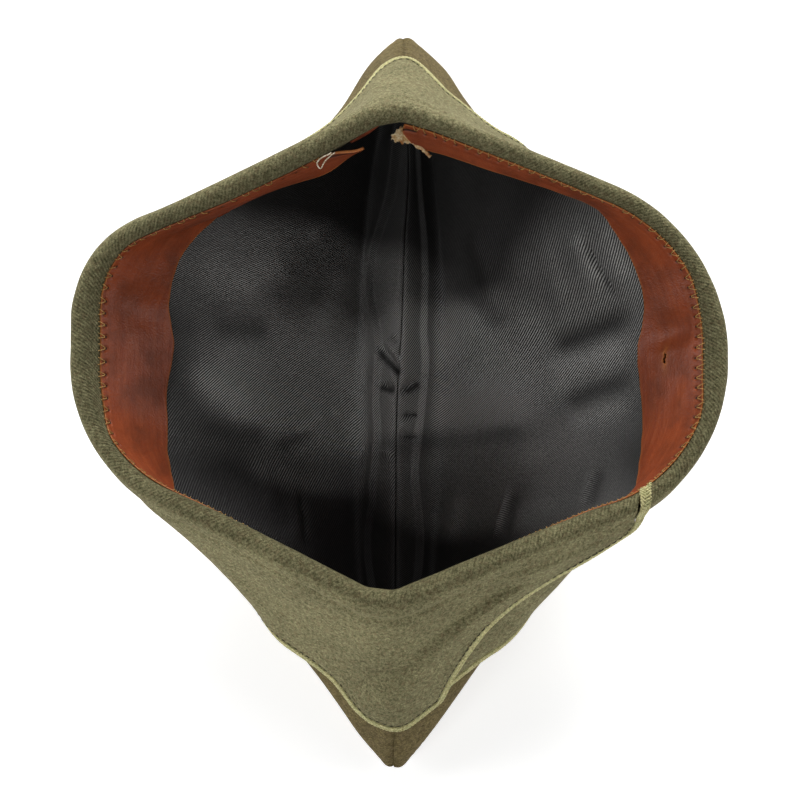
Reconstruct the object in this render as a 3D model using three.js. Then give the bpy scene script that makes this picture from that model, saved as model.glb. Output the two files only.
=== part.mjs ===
// A soldier's garrison cap in wool serge, lying open on the fold of its crown.
// Millimetres, +Z up. +X is the wearer's right and -Y the front of the cap. z = 0 is the plane that
// the folded crown rests on, below the middle of the cap, and the head opening looks up.
//
// Every layer follows one surface, the middle of the crown cloth. A place on it is named by
//   around  0 at the front seam, 1 at the back seam by way of the wearer's right, 2 at the front again
//   down    0 at the rim, 1 at the outer edge of the crown's fold, 2 at the seam sunk in that fold
// and the layers lie at set distances outside (+) or inside (-) of it.

import * as THREE from "three";
import { mergeVertices } from "three/addons/utils/BufferGeometryUtils.js";

// ---- Driving sizes ----------------------------------------------------------------------------

// Plan of the rim, seen from above, going round from the front seam by the wearer's right.
const RIM_CORNERS = [
  { name: "front_seam", x: 0, y: -82.5, radius: 10 },
  { name: "right_front", x: 107.5, y: -36.7, radius: 57 },
  { name: "right_back", x: 106.6, y: 41.6, radius: 56 },
  { name: "back_seam", x: 0, y: 82.5, radius: 10 },
  { name: "back_seam_turnings", x: -10.2, y: 81.2, radius: 10 },
  { name: "left_back", x: -107.8, y: 33.5, radius: 33 },
  { name: "left_front", x: -106.6, y: -34.2, radius: 53 },
  { name: "front_seam_turnings", x: -10.5, y: -81.5, radius: 10 },
];
const RIM_HEIGHT = 96; // at the front and back seams
const RIM_DIP = 10; // how much lower the rim is at the sides
const RIM_HALF_WIDTH = 107;

// The fold that the crown lies on is a long narrow oval with its seam sunk along the middle.
const FOLD_HALF_LENGTH = 139;
const FOLD_HALF_WIDTH = 22;
const FOLD_HEIGHT = 1.5; // of the cloth's middle at the middle of the fold
const TIP_LIFT = 5; // how much higher the two tips are
const FOLD_TURN = 9; // how far the cloth runs on before it turns up into the fold
const TIP_TURN = 1.6;
const SEAM_RISE = 7.7; // of the sunk seam above the fold, at the middle
const TIP_SEAM_RISE = 2.4;
const SEAM_LENGTH_SHARE = 0.965; // length of the sunk seam as a share of the fold's
const SEAM_APPROACH = 0.38; // how level the cloth comes in to the seam, as a share of the half width
const TURN_SHARE = 0.45; // the most that it runs on, as a share of the half width

// How far the walls swell out (+) or draw in (-) half way down, and how far the rim does.
const SWELL = [
  { around: 0, wall: 0, rim: 0 },
  { around: 0.12, wall: -5, rim: 0 },
  { around: 0.2, wall: -7, rim: 0 },
  { around: 0.28, wall: -7.5, rim: 0 },
  { around: 0.5, wall: 8, rim: 0 },
  { around: 0.7, wall: -9, rim: 0 },
  { around: 0.86, wall: -10, rim: 0 },
  { around: 1, wall: 0, rim: 0 },
  { around: 1.12, wall: -11, rim: -1.6 },
  { around: 1.28, wall: -11, rim: -1.8 },
  { around: 1.38, wall: -3.5, rim: -0.3 },
  { around: 1.5, wall: 7, rim: 0 },
  { around: 1.72, wall: -5.5, rim: 0 },
  { around: 1.88, wall: -4, rim: 0 },
  { around: 2, wall: 0, rim: 0 },
];

// Cloth, leather and the gaps between them.
const GAP = 0.3; // along the seams
const FACING_GAP = 0.85; // between the crown and the rim's turned-in edge
const CURTAIN_GAP = 1; // between the crown and the curtain
const LINING_GAP = 1; // between the crown and the lining
const BAND_GAP = 1.35; // between the turned-in edge and the sweatband
const CORD_GAP = 1.1; // between the curtain's edge and the piping
const CROWN_THICK = 2;
const CURTAIN_THICK = 2.2;
const FACING_THICK = 1.5;
const LINING_THICK = 1;
const LEATHER_THICK = 1.2;
const CORD_RADIUS = 1.4;

// The curtain is the band turned up round the crown. Its lower edge, at places around, as down.
const HEM = [
  { around: 0, down: 0.635 },
  { around: 0.05, down: 0.59 },
  { around: 0.12, down: 0.535 },
  { around: 0.3, down: 0.51 },
  { around: 0.7, down: 0.49 },
  { around: 0.89, down: 0.42 },
  { around: 0.95, down: 0.38 },
  { around: 0.97, down: 0.44 },
  { around: 1, down: 0.54 },
  { around: 1.03, down: 0.44 },
  { around: 1.05, down: 0.38 },
  { around: 1.11, down: 0.42 },
  { around: 1.3, down: 0.49 },
  { around: 1.7, down: 0.52 },
  { around: 1.89, down: 0.545 },
  { around: 1.95, down: 0.59 },
  { around: 2, down: 0.635 },
];

// Its ends overlap at the wearer's right front. The edge of the upper end, from the rim to the hem.
const LAP_EDGE = [
  { share: 0, around: 0.301 },
  { share: 0.11, around: 0.293 },
  { share: 0.22, around: 0.275 },
  { share: 0.29, around: 0.243 },
  { share: 0.35, around: 0.198 },
  { share: 0.44, around: 0.15 },
  { share: 0.57, around: 0.11 },
  { share: 0.73, around: 0.08 },
  { share: 0.86, around: 0.06 },
  { share: 1, around: 0.045 },
];
const LAP_WIDTH = 0.05; // how far the lower end runs on below the upper one, as around
const LAP_RAISE = 2.9; // how far the upper end is lifted over the lower one
const LAP_TOP = 0.28; // the lower end's top, as a share of the curtain's height
const LAP_LIFTED = 0.15; // where, going down, the upper end has risen to its full lift
const HEM_EASE = 0.6; // how much further off the crown the hem stands
const FACING_DEPTH = 8; // of the rim's turned-in edge, measured down from the middle of its roll

// The sweatband is sewn below the rim and open at the back, where its right end is torn. Its free
// edge leans off the wall by the amounts given, and counts left of the front seam as negative.
const BAND_TOP = 4.5;
const BAND = [
  { around: -0.931, width: 27, lean: 0 },
  { around: -0.85, width: 29, lean: 0 },
  { around: -0.72, width: 28, lean: 0 },
  { around: -0.65, width: 25, lean: 0 },
  { around: -0.58, width: 26, lean: 0 },
  { around: -0.53, width: 30, lean: 3 },
  { around: -0.45, width: 31, lean: 2 },
  { around: -0.39, width: 28, lean: 0 },
  { around: -0.32, width: 22, lean: 0 },
  { around: -0.2, width: 24, lean: 0 },
  { around: 0, width: 28, lean: 0 },
  { around: 0.2, width: 24, lean: 0 },
  { around: 0.32, width: 20, lean: 0 },
  { around: 0.39, width: 25, lean: 0 },
  { around: 0.46, width: 28, lean: 0 },
  { around: 0.53, width: 28.5, lean: 1.5 },
  { around: 0.59, width: 26, lean: 0 },
  { around: 0.65, width: 21, lean: 0 },
  { around: 0.75, width: 22, lean: 0 },
  { around: 0.88, width: 27, lean: 0 },
  { around: 0.985, width: 27, lean: 0 },
];
const BAND_HANG = { by: 8, from: 55, to: 80 }; // how its free edge hangs off the sloping back wall
const LINING_TOP = 9.2;
const LINING_SHRINK = { length: 12, width: 3.5, height: 3.6, rise: 3.3 };

// ---- Tables and curves ------------------------------------------------------------------------

const smooth = (x) => {
  const t = Math.min(1, Math.max(0, x));
  return t * t * (3 - 2 * t);
};
const mix = (a, b, t) => a + (b - a) * t;

// A smooth curve through the rows of a table, from one column to another.
function follow(table, from, to, x) {
  const last = table.length - 1;
  let i = 0;
  while (i < last - 1 && x > table[i + 1][from]) i += 1;
  const slope = (k) => {
    const a = table[Math.max(0, k - 1)];
    const b = table[Math.min(last, k + 1)];
    return (b[to] - a[to]) / (b[from] - a[from]);
  };
  const h = table[i + 1][from] - table[i][from];
  const u = Math.min(1, Math.max(0, (x - table[i][from]) / h));
  const ease = u * u * (3 - 2 * u);
  const bend = u * (1 - u) * h * ((1 - u) * slope(i) - u * slope(i + 1));
  return mix(table[i][to], table[i + 1][to], ease) + bend;
}

// ---- The surface of the crown -----------------------------------------------------------------

const LINE_STEP = 3;
const ARC_STEP = 0.6;

// The rim's plan as points with the angle that each one faces; turns are arcs of the corners' radii.
function rimPlan() {
  const count = RIM_CORNERS.length;
  const turns = RIM_CORNERS.map((corner, i) => {
    const before = RIM_CORNERS[(i + count - 1) % count];
    const after = RIM_CORNERS[(i + 1) % count];
    const heading = Math.atan2(corner.y - before.y, corner.x - before.x);
    const next = Math.atan2(after.y - corner.y, after.x - corner.x);
    const turn = ((next - heading + 3 * Math.PI) % (2 * Math.PI)) - Math.PI;
    const reach = corner.radius * Math.tan(turn / 2);
    const start = { x: corner.x - reach * Math.cos(heading), y: corner.y - reach * Math.sin(heading) };
    const centre = {
      x: start.x - corner.radius * Math.sin(heading),
      y: start.y + corner.radius * Math.cos(heading),
    };
    return { name: corner.name, radius: corner.radius, heading, turn, centre };
  });
  const points = [];
  const onArc = (t, share, name) => {
    const facing = t.heading + t.turn * share - Math.PI / 2;
    points.push({
      x: t.centre.x + t.radius * Math.cos(facing),
      y: t.centre.y + t.radius * Math.sin(facing),
      facing,
      name,
    });
  };
  turns.forEach((t, i) => {
    const half = Math.max(2, Math.ceil((t.radius * t.turn) / ARC_STEP / 2));
    for (let k = 0; k <= 2 * half; k += 1) onArc(t, k / (2 * half), k === half ? t.name : "");
    const a = points[points.length - 1];
    onArc(turns[(i + 1) % count], 0, "");
    const b = points.pop();
    const pieces = Math.ceil(Math.hypot(b.x - a.x, b.y - a.y) / LINE_STEP);
    for (let k = 1; k < pieces; k += 1) {
      const share = k / pieces;
      points.push({ x: mix(a.x, b.x, share), y: mix(a.y, b.y, share), facing: a.facing, name: "" });
    }
  });
  const front = points.findIndex((p) => p.name === "front_seam");
  return [...points.slice(front), ...points.slice(0, front + 1)];
}

// The section at a share of the way down, as places around with even steps on each side.
function section(plan, share, shape, steps) {
  const loop = plan.map((p) => {
    const nx = Math.cos(p.facing);
    const ny = Math.sin(p.facing);
    const reach = Math.hypot(shape.halfWidth * nx, shape.halfLength * ny);
    const foldX = (shape.halfWidth ** 2 * nx) / reach;
    const foldY = (shape.halfLength ** 2 * ny) / reach;
    const rimZ = RIM_HEIGHT - RIM_DIP * (p.x / RIM_HALF_WIDTH) ** 2;
    const foldZ = shape.height + TIP_LIFT * Math.abs(foldY / shape.halfLength) ** 4;
    return new THREE.Vector3(mix(p.x, foldX, share), mix(p.y, foldY, share), mix(rimZ, foldZ, share));
  });
  const back = plan.findIndex((p) => p.name === "back_seam");
  const row = [];
  for (const [first, last] of [[0, back], [back, loop.length - 1]]) {
    const along = [0];
    for (let i = first + 1; i <= last; i += 1) {
      const step = Math.hypot(loop[i].x - loop[i - 1].x, loop[i].y - loop[i - 1].y);
      along.push(along[along.length - 1] + step);
    }
    let k = 0;
    for (let j = 0; j < steps; j += 1) {
      const want = (along[along.length - 1] * j) / steps;
      while (along[k + 1] < want) k += 1;
      const part = (want - along[k]) / (along[k + 1] - along[k]);
      row.push(loop[first + k].clone().lerp(loop[first + k + 1], part));
    }
  }
  return row;
}

// A whole surface as a table of points, rows going down and columns around, and its normals.
function makeSurface(shape) {
  const steps = 200; // around, on each side
  const wallRows = 48;
  const foldRows = 16;
  const plan = rimPlan();
  const rows = [];
  for (let i = 0; i <= wallRows; i += 1) rows.push(section(plan, i / wallRows, shape, steps));
  const count = 2 * steps;
  const across = (i, j) => rows[i][(j + count) % count];
  const swollen = rows.map((row, i) =>
    row.map((p, j) => {
      const along = across(i, j + 1).clone().sub(across(i, j - 1));
      const downward = rows[wallRows][j].clone().sub(rows[0][j]);
      const out = downward.cross(along).normalize();
      const share = i / wallRows;
      const wall = follow(SWELL, "around", "wall", j / steps) * 4 * share * (1 - share);
      const rim = follow(SWELL, "around", "rim", j / steps) * (1 - share) ** 2;
      return p.clone().addScaledVector(out, wall + rim);
    }),
  );
  const twin = (j) => (count - j) % count; // the column at the same height on the other side
  for (let i = 1; i <= foldRows; i += 1) {
    swollen.push(
      swollen[wallRows].map((edge, j) => {
        const run = edge.clone().sub(swollen[wallRows - 1][j]).normalize();
        const meet = edge.clone().lerp(swollen[wallRows][twin(j)], 0.5);
        const middle = 1 - (meet.y / shape.halfLength) ** 2;
        const rise = mix(TIP_SEAM_RISE, SEAM_RISE, Math.max(0, middle)) + shape.rise;
        const seam = new THREE.Vector3(0, meet.y * SEAM_LENGTH_SHARE, meet.z + rise);
        const turn = TIP_TURN + Math.min(FOLD_TURN, TURN_SHARE * Math.abs(edge.x));
        const from = edge.clone().addScaledVector(run, turn);
        const to = seam.clone().add(new THREE.Vector3(edge.x * SEAM_APPROACH, 0, 0));
        return new THREE.CubicBezierCurve3(edge, from, to, seam).getPoint(i / foldRows);
      }),
    );
  }
  const last = swollen.length - 1;
  const normals = swollen.map((row, i) =>
    row.map((p, j) => {
      const along = row[(j + 1) % count].clone().sub(row[(j + count - 1) % count]);
      const downward = swollen[Math.min(last, i + 1)][j].clone().sub(swollen[Math.max(0, i - 1)][j]);
      return downward.cross(along).normalize();
    }),
  );
  // The two sides meet at the seam, so the way out from it is the mean of theirs.
  const sides = normals[last];
  normals[last] = sides.map((n, j) => n.clone().add(sides[twin(j)]).setX(0).normalize());
  return { points: swollen, normals, steps, wallRows, foldRows };
}

const CROWN = makeSurface({
  halfLength: FOLD_HALF_LENGTH,
  halfWidth: FOLD_HALF_WIDTH,
  height: FOLD_HEIGHT,
  rise: 0,
});
const LINED = makeSurface({
  halfLength: FOLD_HALF_LENGTH - LINING_SHRINK.length,
  halfWidth: FOLD_HALF_WIDTH - LINING_SHRINK.width,
  height: FOLD_HEIGHT + LINING_SHRINK.height,
  rise: LINING_SHRINK.rise,
});

// The place on a surface at around and down, and the way out from it.
function place(surface, around, down) {
  const count = surface.points[0].length;
  const row = down <= 1 ? down * surface.wallRows : surface.wallRows + (down - 1) * surface.foldRows;
  const column = (((around % 2) + 2) % 2) * surface.steps;
  const i = Math.min(surface.points.length - 2, Math.floor(row));
  const j = Math.floor(column) % count;
  const next = (j + 1) % count;
  const blend = (table) => {
    const upper = table[i][j].clone().lerp(table[i][next], column - Math.floor(column));
    const lower = table[i + 1][j].clone().lerp(table[i + 1][next], column - Math.floor(column));
    return upper.lerp(lower, row - i);
  };
  return { point: blend(surface.points), out: blend(surface.normals).normalize() };
}

function offset(surface, around, down, by) {
  const { point, out } = place(surface, around, down);
  return point.addScaledVector(out, by);
}

// The down that lies a number of millimetres below the middle of the rim's roll.
function downAt(around, depth) {
  const step = 0.1;
  const span = place(CROWN, around, 0).point.distanceTo(place(CROWN, around, step).point);
  return (depth / span) * step;
}

// ---- Making solids ----------------------------------------------------------------------------

// A sheet with an outer and an inner face, each a table of points with its rows going down and its
// columns going round from the front by the wearer's right. All four edges are closed.
function sheet(outer, inner) {
  const rows = outer.length;
  const columns = outer[0].length;
  const vertices = [];
  for (const face of [outer, inner]) {
    for (const row of face) for (const p of row) vertices.push(p.x, p.y, p.z);
  }
  const at = (face, i, j) => (face * rows + i) * columns + j;
  const index = [];
  const quad = (a, b, c, d) => index.push(a, b, c, a, c, d);
  for (let i = 0; i < rows - 1; i += 1) {
    for (let j = 0; j < columns - 1; j += 1) {
      quad(at(0, i, j), at(0, i + 1, j), at(0, i + 1, j + 1), at(0, i, j + 1));
      quad(at(1, i, j), at(1, i, j + 1), at(1, i + 1, j + 1), at(1, i + 1, j));
    }
  }
  const [bottom, end] = [rows - 1, columns - 1];
  for (let j = 0; j < end; j += 1) {
    quad(at(0, 0, j), at(0, 0, j + 1), at(1, 0, j + 1), at(1, 0, j));
    quad(at(0, bottom, j), at(1, bottom, j), at(1, bottom, j + 1), at(0, bottom, j + 1));
  }
  for (let i = 0; i < bottom; i += 1) {
    quad(at(0, i, 0), at(1, i, 0), at(1, i + 1, 0), at(0, i + 1, 0));
    quad(at(0, i, end), at(0, i + 1, end), at(1, i + 1, end), at(1, i, end));
  }
  const geometry = new THREE.BufferGeometry();
  geometry.setAttribute("position", new THREE.Float32BufferAttribute(vertices, 3));
  geometry.setIndex(index);
  return geometry;
}

const material = (color, roughness) => new THREE.MeshStandardMaterial({ color, roughness, metalness: 0 });
const WOOL = material("#5e583c", 0.95);
const CORD = material("#b3ab74", 0.85);
const TWILL = material("#26262a", 0.55);
const LEATHER = material("#7d4128", 0.5);

const cap = new THREE.Group();
function add(name, geometry, surfaceMaterial) {
  geometry.computeVertexNormals();
  const mesh = new THREE.Mesh(geometry, surfaceMaterial);
  mesh.name = name;
  cap.add(mesh);
}

// Places around for the columns of one side: wide apart where the rim runs straight, close where
// it turns, and two more next to each seam.
function columnsOfSide(turnSpans, straightSpans) {
  const [seam, beside] = [0.012, 0.028];
  const columns = [0, seam, beside];
  for (let i = 1; i < straightSpans; i += 1) columns.push((TURN_START * i) / straightSpans);
  for (let i = 0; i <= turnSpans; i += 1) columns.push(mix(TURN_START, 1 - TURN_START, i / turnSpans));
  for (let i = straightSpans - 1; i > 0; i -= 1) columns.push(1 - (TURN_START * i) / straightSpans);
  return [...columns, 1 - beside, 1 - seam, 1];
}

// ---- Crown ------------------------------------------------------------------------------------

const TURN_START = 0.25;
const COLUMNS = columnsOfSide(15, 6);
const CROWN_ROWS = [0, 0.08, 0.19, 0.31, 0.43, 0.56, 0.7, 0.83, 0.93, 1, 1.18, 1.38, 1.6, 1.8, 2];

// One side of a shell that goes all round: side 1 is the wearer's right, -1 the left. Its seam edges
// lie straight along the middle of the cap, and the floor keeps the bottom of its fold flat.
function sideOf(side, rows, columns, at, thick, floor) {
  const last = columns.length - 1;
  const face = (by, lowest) =>
    rows.map((down) =>
      columns.map((_, j) => {
        const around = side === 1 ? columns[j] : 2 - columns[last - j];
        const depth = down > 2 ? downAt(around, down) : down;
        const p = at(around, depth, by);
        p.z = Math.max(p.z, lowest);
        const seam = j === 0 || j === last || down === 2;
        p.x = seam ? (side * GAP) / 2 : side * Math.max(side * p.x, GAP / 2);
        return p;
      }),
    );
  return sheet(face(thick / 2, floor), face(-thick / 2, floor + thick));
}

const crownAt = (around, down, by) => offset(CROWN, around, down, by);
add("crown_right", sideOf(1, CROWN_ROWS, COLUMNS, crownAt, CROWN_THICK, 0), WOOL);
add("crown_left", sideOf(-1, CROWN_ROWS, COLUMNS, crownAt, CROWN_THICK, 0), WOOL);

// ---- Lining -----------------------------------------------------------------------------------

const LINING_COLUMNS = columnsOfSide(11, 5);
// The first row is a depth in millimetres, so that the top edge runs level below the rim.
const LINING_ROWS = [LINING_TOP, 0.2, 0.35, 0.5, 0.66, 0.81, 0.92, 1, 1.2, 1.45, 1.72, 2];
const LINING_IN = CROWN_THICK / 2 + LINING_GAP + LINING_THICK / 2;

// Behind the sweatband it lies close against the crown, and it leaves it gradually further down.
function liningAt(around, down, by) {
  const close = offset(CROWN, around, down, by - LINING_IN);
  const loose = offset(LINED, around, down, by - LINING_IN * Math.max(0, 1 - down));
  return close.lerp(loose, smooth((down - 0.3) / 0.4));
}

const LINING_FLOOR = CROWN_THICK + GAP;
for (const [name, side] of [["lining_right", 1], ["lining_left", -1]]) {
  add(name, sideOf(side, LINING_ROWS, LINING_COLUMNS, liningAt, LINING_THICK, LINING_FLOOR), TWILL);
}

// ---- Curtain ----------------------------------------------------------------------------------

const CURTAIN_IN = CROWN_THICK / 2 + CURTAIN_GAP;
const CURTAIN_OUT = CURTAIN_IN + CURTAIN_THICK;
const FACING_OUT = -CROWN_THICK / 2 - FACING_GAP;
const FACING_IN = FACING_OUT - FACING_THICK;
const ROLL_RADIUS = (CURTAIN_OUT - FACING_IN) / 2;
const ROLL_MIDDLE = (CURTAIN_OUT + FACING_IN) / 2;

const hemAt = (around) => follow(HEM, "around", "down", ((around % 2) + 2) % 2);
const lapEdge = (share) => follow(LAP_EDGE, "share", "around", share);
const CORD_ROOM = 0.013; // around that the cord takes between the two ends at the rim
const lapStart = (share) =>
  mix(lapEdge(0) + CORD_ROOM, lapEdge(share) - LAP_WIDTH, smooth((share - LAP_TOP / 2) / (LAP_TOP / 2)));

// How far the upper end of the curtain is lifted. Its places around go on past 2.
function lapRaise(around, share) {
  const run = 0.05;
  const begun = smooth((around - 2 - (lapStart(Math.max(share, LAP_TOP)) - 1.5 * run)) / run);
  return LAP_RAISE * begun * smooth(share / LAP_LIFTED);
}

// A point of the curtain at a share of its height, lifted by the overlap and the ease of the hem.
function onCurtain(around, share, by) {
  const ease = HEM_EASE * smooth(2 * share - 1);
  return offset(CROWN, around, share * hemAt(around), by + ease + lapRaise(around, share));
}

// A point on the roll of the rim: angle 0 looks out and PI looks in.
function onRoll(around, angle, radius, middle) {
  const { point, out } = place(CROWN, around, 0);
  const below = place(CROWN, around, 0.02).point;
  const up = point.clone().sub(below).normalize();
  point.addScaledVector(out, middle + radius * Math.cos(angle));
  return point.addScaledVector(up, radius * Math.sin(angle));
}

const CURTAIN_SHARES = [0.04, 0.11, 0.18, 0.24, 0.3, 0.36, 0.46, 0.62, 0.8, 1];
const ROLL_ANGLES = [1, 0.75, 0.5, 0.25, 0].map((share) => share * Math.PI);

// Its columns are the crown's, but those near an end slide with its slanting edge.
const START = 0.06;
const START_SETTLED = 0.5;
const END = 2.25;
const ALL_ROUND = [0, 1, 2].flatMap((lap) => COLUMNS.slice(1).map((x) => lap + x));
const CURTAIN_COLUMNS = [START, ...ALL_ROUND.filter((x) => x > START && x < END), END];

function curtainAround(even, share) {
  if (even < START_SETTLED) {
    return mix(lapStart(share), START_SETTLED, (even - START) / (START_SETTLED - START));
  }
  if (even > 2) return mix(2, 2 + lapEdge(share), (even - 2) / (END - 2));
  return even;
}

// Rows from the edge turned inside the rim, over the roll and down to the hem.
function curtainFace(by, radius, middle, facingBy) {
  const facing = CURTAIN_COLUMNS.map((even) => {
    const around = curtainAround(even, 0);
    return offset(CROWN, around, downAt(around, FACING_DEPTH), facingBy);
  });
  const roll = ROLL_ANGLES.map((angle) =>
    CURTAIN_COLUMNS.map((even) => onRoll(curtainAround(even, 0), angle, radius, middle)),
  );
  const band = CURTAIN_SHARES.map((share) =>
    CURTAIN_COLUMNS.map((even) => onCurtain(curtainAround(even, share), share, by)),
  );
  return [facing, ...roll, ...band];
}

const curtain = sheet(
  curtainFace(CURTAIN_OUT, ROLL_RADIUS, ROLL_MIDDLE, FACING_IN),
  curtainFace(CURTAIN_IN, (CURTAIN_IN - FACING_OUT) / 2, (CURTAIN_IN + FACING_OUT) / 2, FACING_OUT),
);
add("curtain", curtain, WOOL);

// ---- Piping cord ------------------------------------------------------------------------------

const CORD_BESIDE = CORD_RADIUS + CORD_GAP; // from the curtain's edge to the cord's middle
const CORD_BY = CROWN_THICK / 2 + CURTAIN_GAP + CORD_RADIUS;

// From the hidden end below the overlap, round the hem, up the overlapping edge and over the rim.
function cordRoute() {
  const edge = CURTAIN_COLUMNS.map((even) => ({ around: curtainAround(even, 1), share: 1 }));
  edge.pop();
  for (const share of CURTAIN_SHARES.toReversed()) edge.push({ around: 2 + lapEdge(share), share });
  const places = edge.map(({ around, share }) => {
    const { out } = place(CROWN, around, share * hemAt(around));
    return { point: onCurtain(around, share, CORD_BY), out };
  });
  const points = places.map(({ point, out }, k) => {
    const before = places[Math.max(0, k - 1)].point;
    const after = places[Math.min(places.length - 1, k + 1)].point;
    const away = after.clone().sub(before).cross(out).normalize();
    return point.clone().addScaledVector(away, CORD_BESIDE);
  });
  const top = 2 + lapEdge(0) + CORD_ROOM / 2;
  for (const share of [0, 0.25, 0.5, 0.75, 1]) {
    points.push(onRoll(top, share * Math.PI, CORD_BY, 0));
  }
  points.push(offset(CROWN, top, downAt(top, 3), -CORD_BY));
  return points;
}

function cord(points) {
  const curve = new THREE.CatmullRomCurve3(points, false, "centripetal");
  const outline = new THREE.Shape(
    Array.from({ length: 7 }, (_, k) => {
      const angle = (k * 2 * Math.PI) / 7;
      return new THREE.Vector2(CORD_RADIUS * Math.cos(angle), CORD_RADIUS * Math.sin(angle));
    }),
  );
  const tube = new THREE.ExtrudeGeometry(outline, { steps: 112, extrudePath: curve, bevelEnabled: false });
  tube.deleteAttribute("normal");
  tube.deleteAttribute("uv");
  return mergeVertices(tube, 1e-3);
}

add("piping", cord(cordRoute()), CORD);

// ---- Sweatband --------------------------------------------------------------------------------

const BAND_OUT = FACING_IN - BAND_GAP;
const BAND_SPANS = 54;
const BAND_SHARES = [0, 0.22, 0.48, 0.75, 1];

// On the back wall, which leans in over the hollow, its free edge hangs away from the wall.
function onBand(around, share, by) {
  const depth = BAND_TOP + follow(BAND, "around", "width", around) * share;
  const lean = follow(BAND, "around", "lean", around) * share ** 2;
  const p = offset(CROWN, around, downAt(around, depth), by - lean);
  p.y -= BAND_HANG.by * smooth((p.y - BAND_HANG.from) / (BAND_HANG.to - BAND_HANG.from)) * share;
  return p;
}

function bandFace(by) {
  const [first, last] = [BAND[0].around, BAND[BAND.length - 1].around];
  return BAND_SHARES.map((share) =>
    Array.from({ length: BAND_SPANS + 1 }, (_, k) => onBand(mix(first, last, k / BAND_SPANS), share, by)),
  );
}

add("sweatband", sheet(bandFace(BAND_OUT), bandFace(BAND_OUT - LEATHER_THICK)), LEATHER);

export default cap;
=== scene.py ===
"""A soldier's garrison cap in wool serge, lying open on the fold of its crown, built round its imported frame.

Each panel starts flat and is then laid onto one surface, the middle of the crown cloth, on which a place is
named by
  around  0 at the front seam, 1 at the back seam by way of the wearer's right, 2 at the front again
  down    0 at the rim, 1 at the outer edge of the crown's fold, 2 at the seam sunk in that fold.
Sizes are in millimetres until a mesh is made.
"""
import math

import bmesh
import bpy
import numpy as np
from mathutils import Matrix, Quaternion, Vector


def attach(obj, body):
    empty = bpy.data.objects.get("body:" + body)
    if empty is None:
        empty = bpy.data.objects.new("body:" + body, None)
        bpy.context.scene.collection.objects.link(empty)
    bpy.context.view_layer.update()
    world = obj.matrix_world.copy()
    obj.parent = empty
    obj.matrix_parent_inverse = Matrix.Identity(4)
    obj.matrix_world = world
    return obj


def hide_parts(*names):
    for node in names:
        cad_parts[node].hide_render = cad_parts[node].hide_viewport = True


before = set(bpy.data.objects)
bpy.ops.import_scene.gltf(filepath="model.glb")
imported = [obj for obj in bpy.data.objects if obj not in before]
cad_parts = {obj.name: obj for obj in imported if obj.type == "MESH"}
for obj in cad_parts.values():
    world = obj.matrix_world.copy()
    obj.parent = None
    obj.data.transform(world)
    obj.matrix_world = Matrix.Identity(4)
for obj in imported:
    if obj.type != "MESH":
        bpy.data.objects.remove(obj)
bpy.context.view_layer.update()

MM = 0.001

# ---- Camera -----------------------------------------------------------------------------------


def add_camera():
    """Looks down into the opening, from a little in front of the cap."""
    target = Vector((0.385, -15.922, 95)) * MM
    elevation, roll = math.radians(81.602), math.radians(0.794)
    distance, lens, sensor = 0.650, 87.96, 36
    back = Vector((0, -math.cos(elevation), math.sin(elevation)))
    data = bpy.data.cameras.new("camera")
    data.lens, data.sensor_width = lens, sensor
    camera = bpy.data.objects.new("camera", data)
    bpy.context.scene.collection.objects.link(camera)
    camera.location = target + back * distance
    camera.rotation_mode = "QUATERNION"
    camera.rotation_quaternion = (-back).to_track_quat("-Z", "Y") @ Quaternion((0, 0, 1), roll)
    bpy.context.scene.camera = camera


add_camera()

# ---- Sizes, mostly those of the frame ---------------------------------------------------------

RIM_CORNERS = (  # x, y and radius, going round from the front seam by the wearer's right
    (0, -82.5, 10), (107.5, -36.7, 57), (106.6, 41.6, 56), (0, 82.5, 10),
    (-10.2, 81.2, 10), (-107.8, 33.5, 33), (-106.6, -34.2, 53), (-10.5, -81.5, 10),
)
FRONT_CORNER, BACK_CORNER = 0, 3
RIM_HEIGHT, RIM_DIP, RIM_HALF_WIDTH = 96, 10, 107
FOLD_HALF_LENGTH, FOLD_HALF_WIDTH, FOLD_HEIGHT = 139, 22, 1.5
TIP_LIFT, FOLD_TURN, TIP_TURN, TURN_SHARE = 5, 9, 1.6, 0.45
SEAM_RISE, TIP_SEAM_RISE, SEAM_LENGTH_SHARE, SEAM_APPROACH = 7.7, 2.4, 0.965, 0.38
WALL_SWELL = (  # around, how far the wall swells out half way down
    (0, 0), (0.12, -5), (0.2, -7), (0.28, -7.5), (0.5, 8), (0.7, -9), (0.86, -10), (1, 0),
    (1.12, -11), (1.28, -11), (1.38, -3.5), (1.5, 7), (1.72, -5.5), (1.88, -4), (2, 0),
)
RIM_SWELL = (  # around, how far the rim does
    (0, 0), (0.12, 0), (0.2, 0), (0.28, 0), (0.5, 0), (0.7, 0), (0.86, 0), (1, 0),
    (1.12, -1.6), (1.28, -1.8), (1.38, -0.3), (1.5, 0), (1.72, 0), (1.88, 0), (2, 0),
)
HEM = (  # around, down of the curtain's lower edge
    (0, 0.635), (0.05, 0.59), (0.12, 0.535), (0.3, 0.51), (0.7, 0.49), (0.89, 0.42),
    (0.95, 0.38), (0.97, 0.44), (1, 0.54), (1.03, 0.44), (1.05, 0.38), (1.11, 0.42),
    (1.3, 0.49), (1.7, 0.52), (1.89, 0.545), (1.95, 0.59), (2, 0.635),
)
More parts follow.
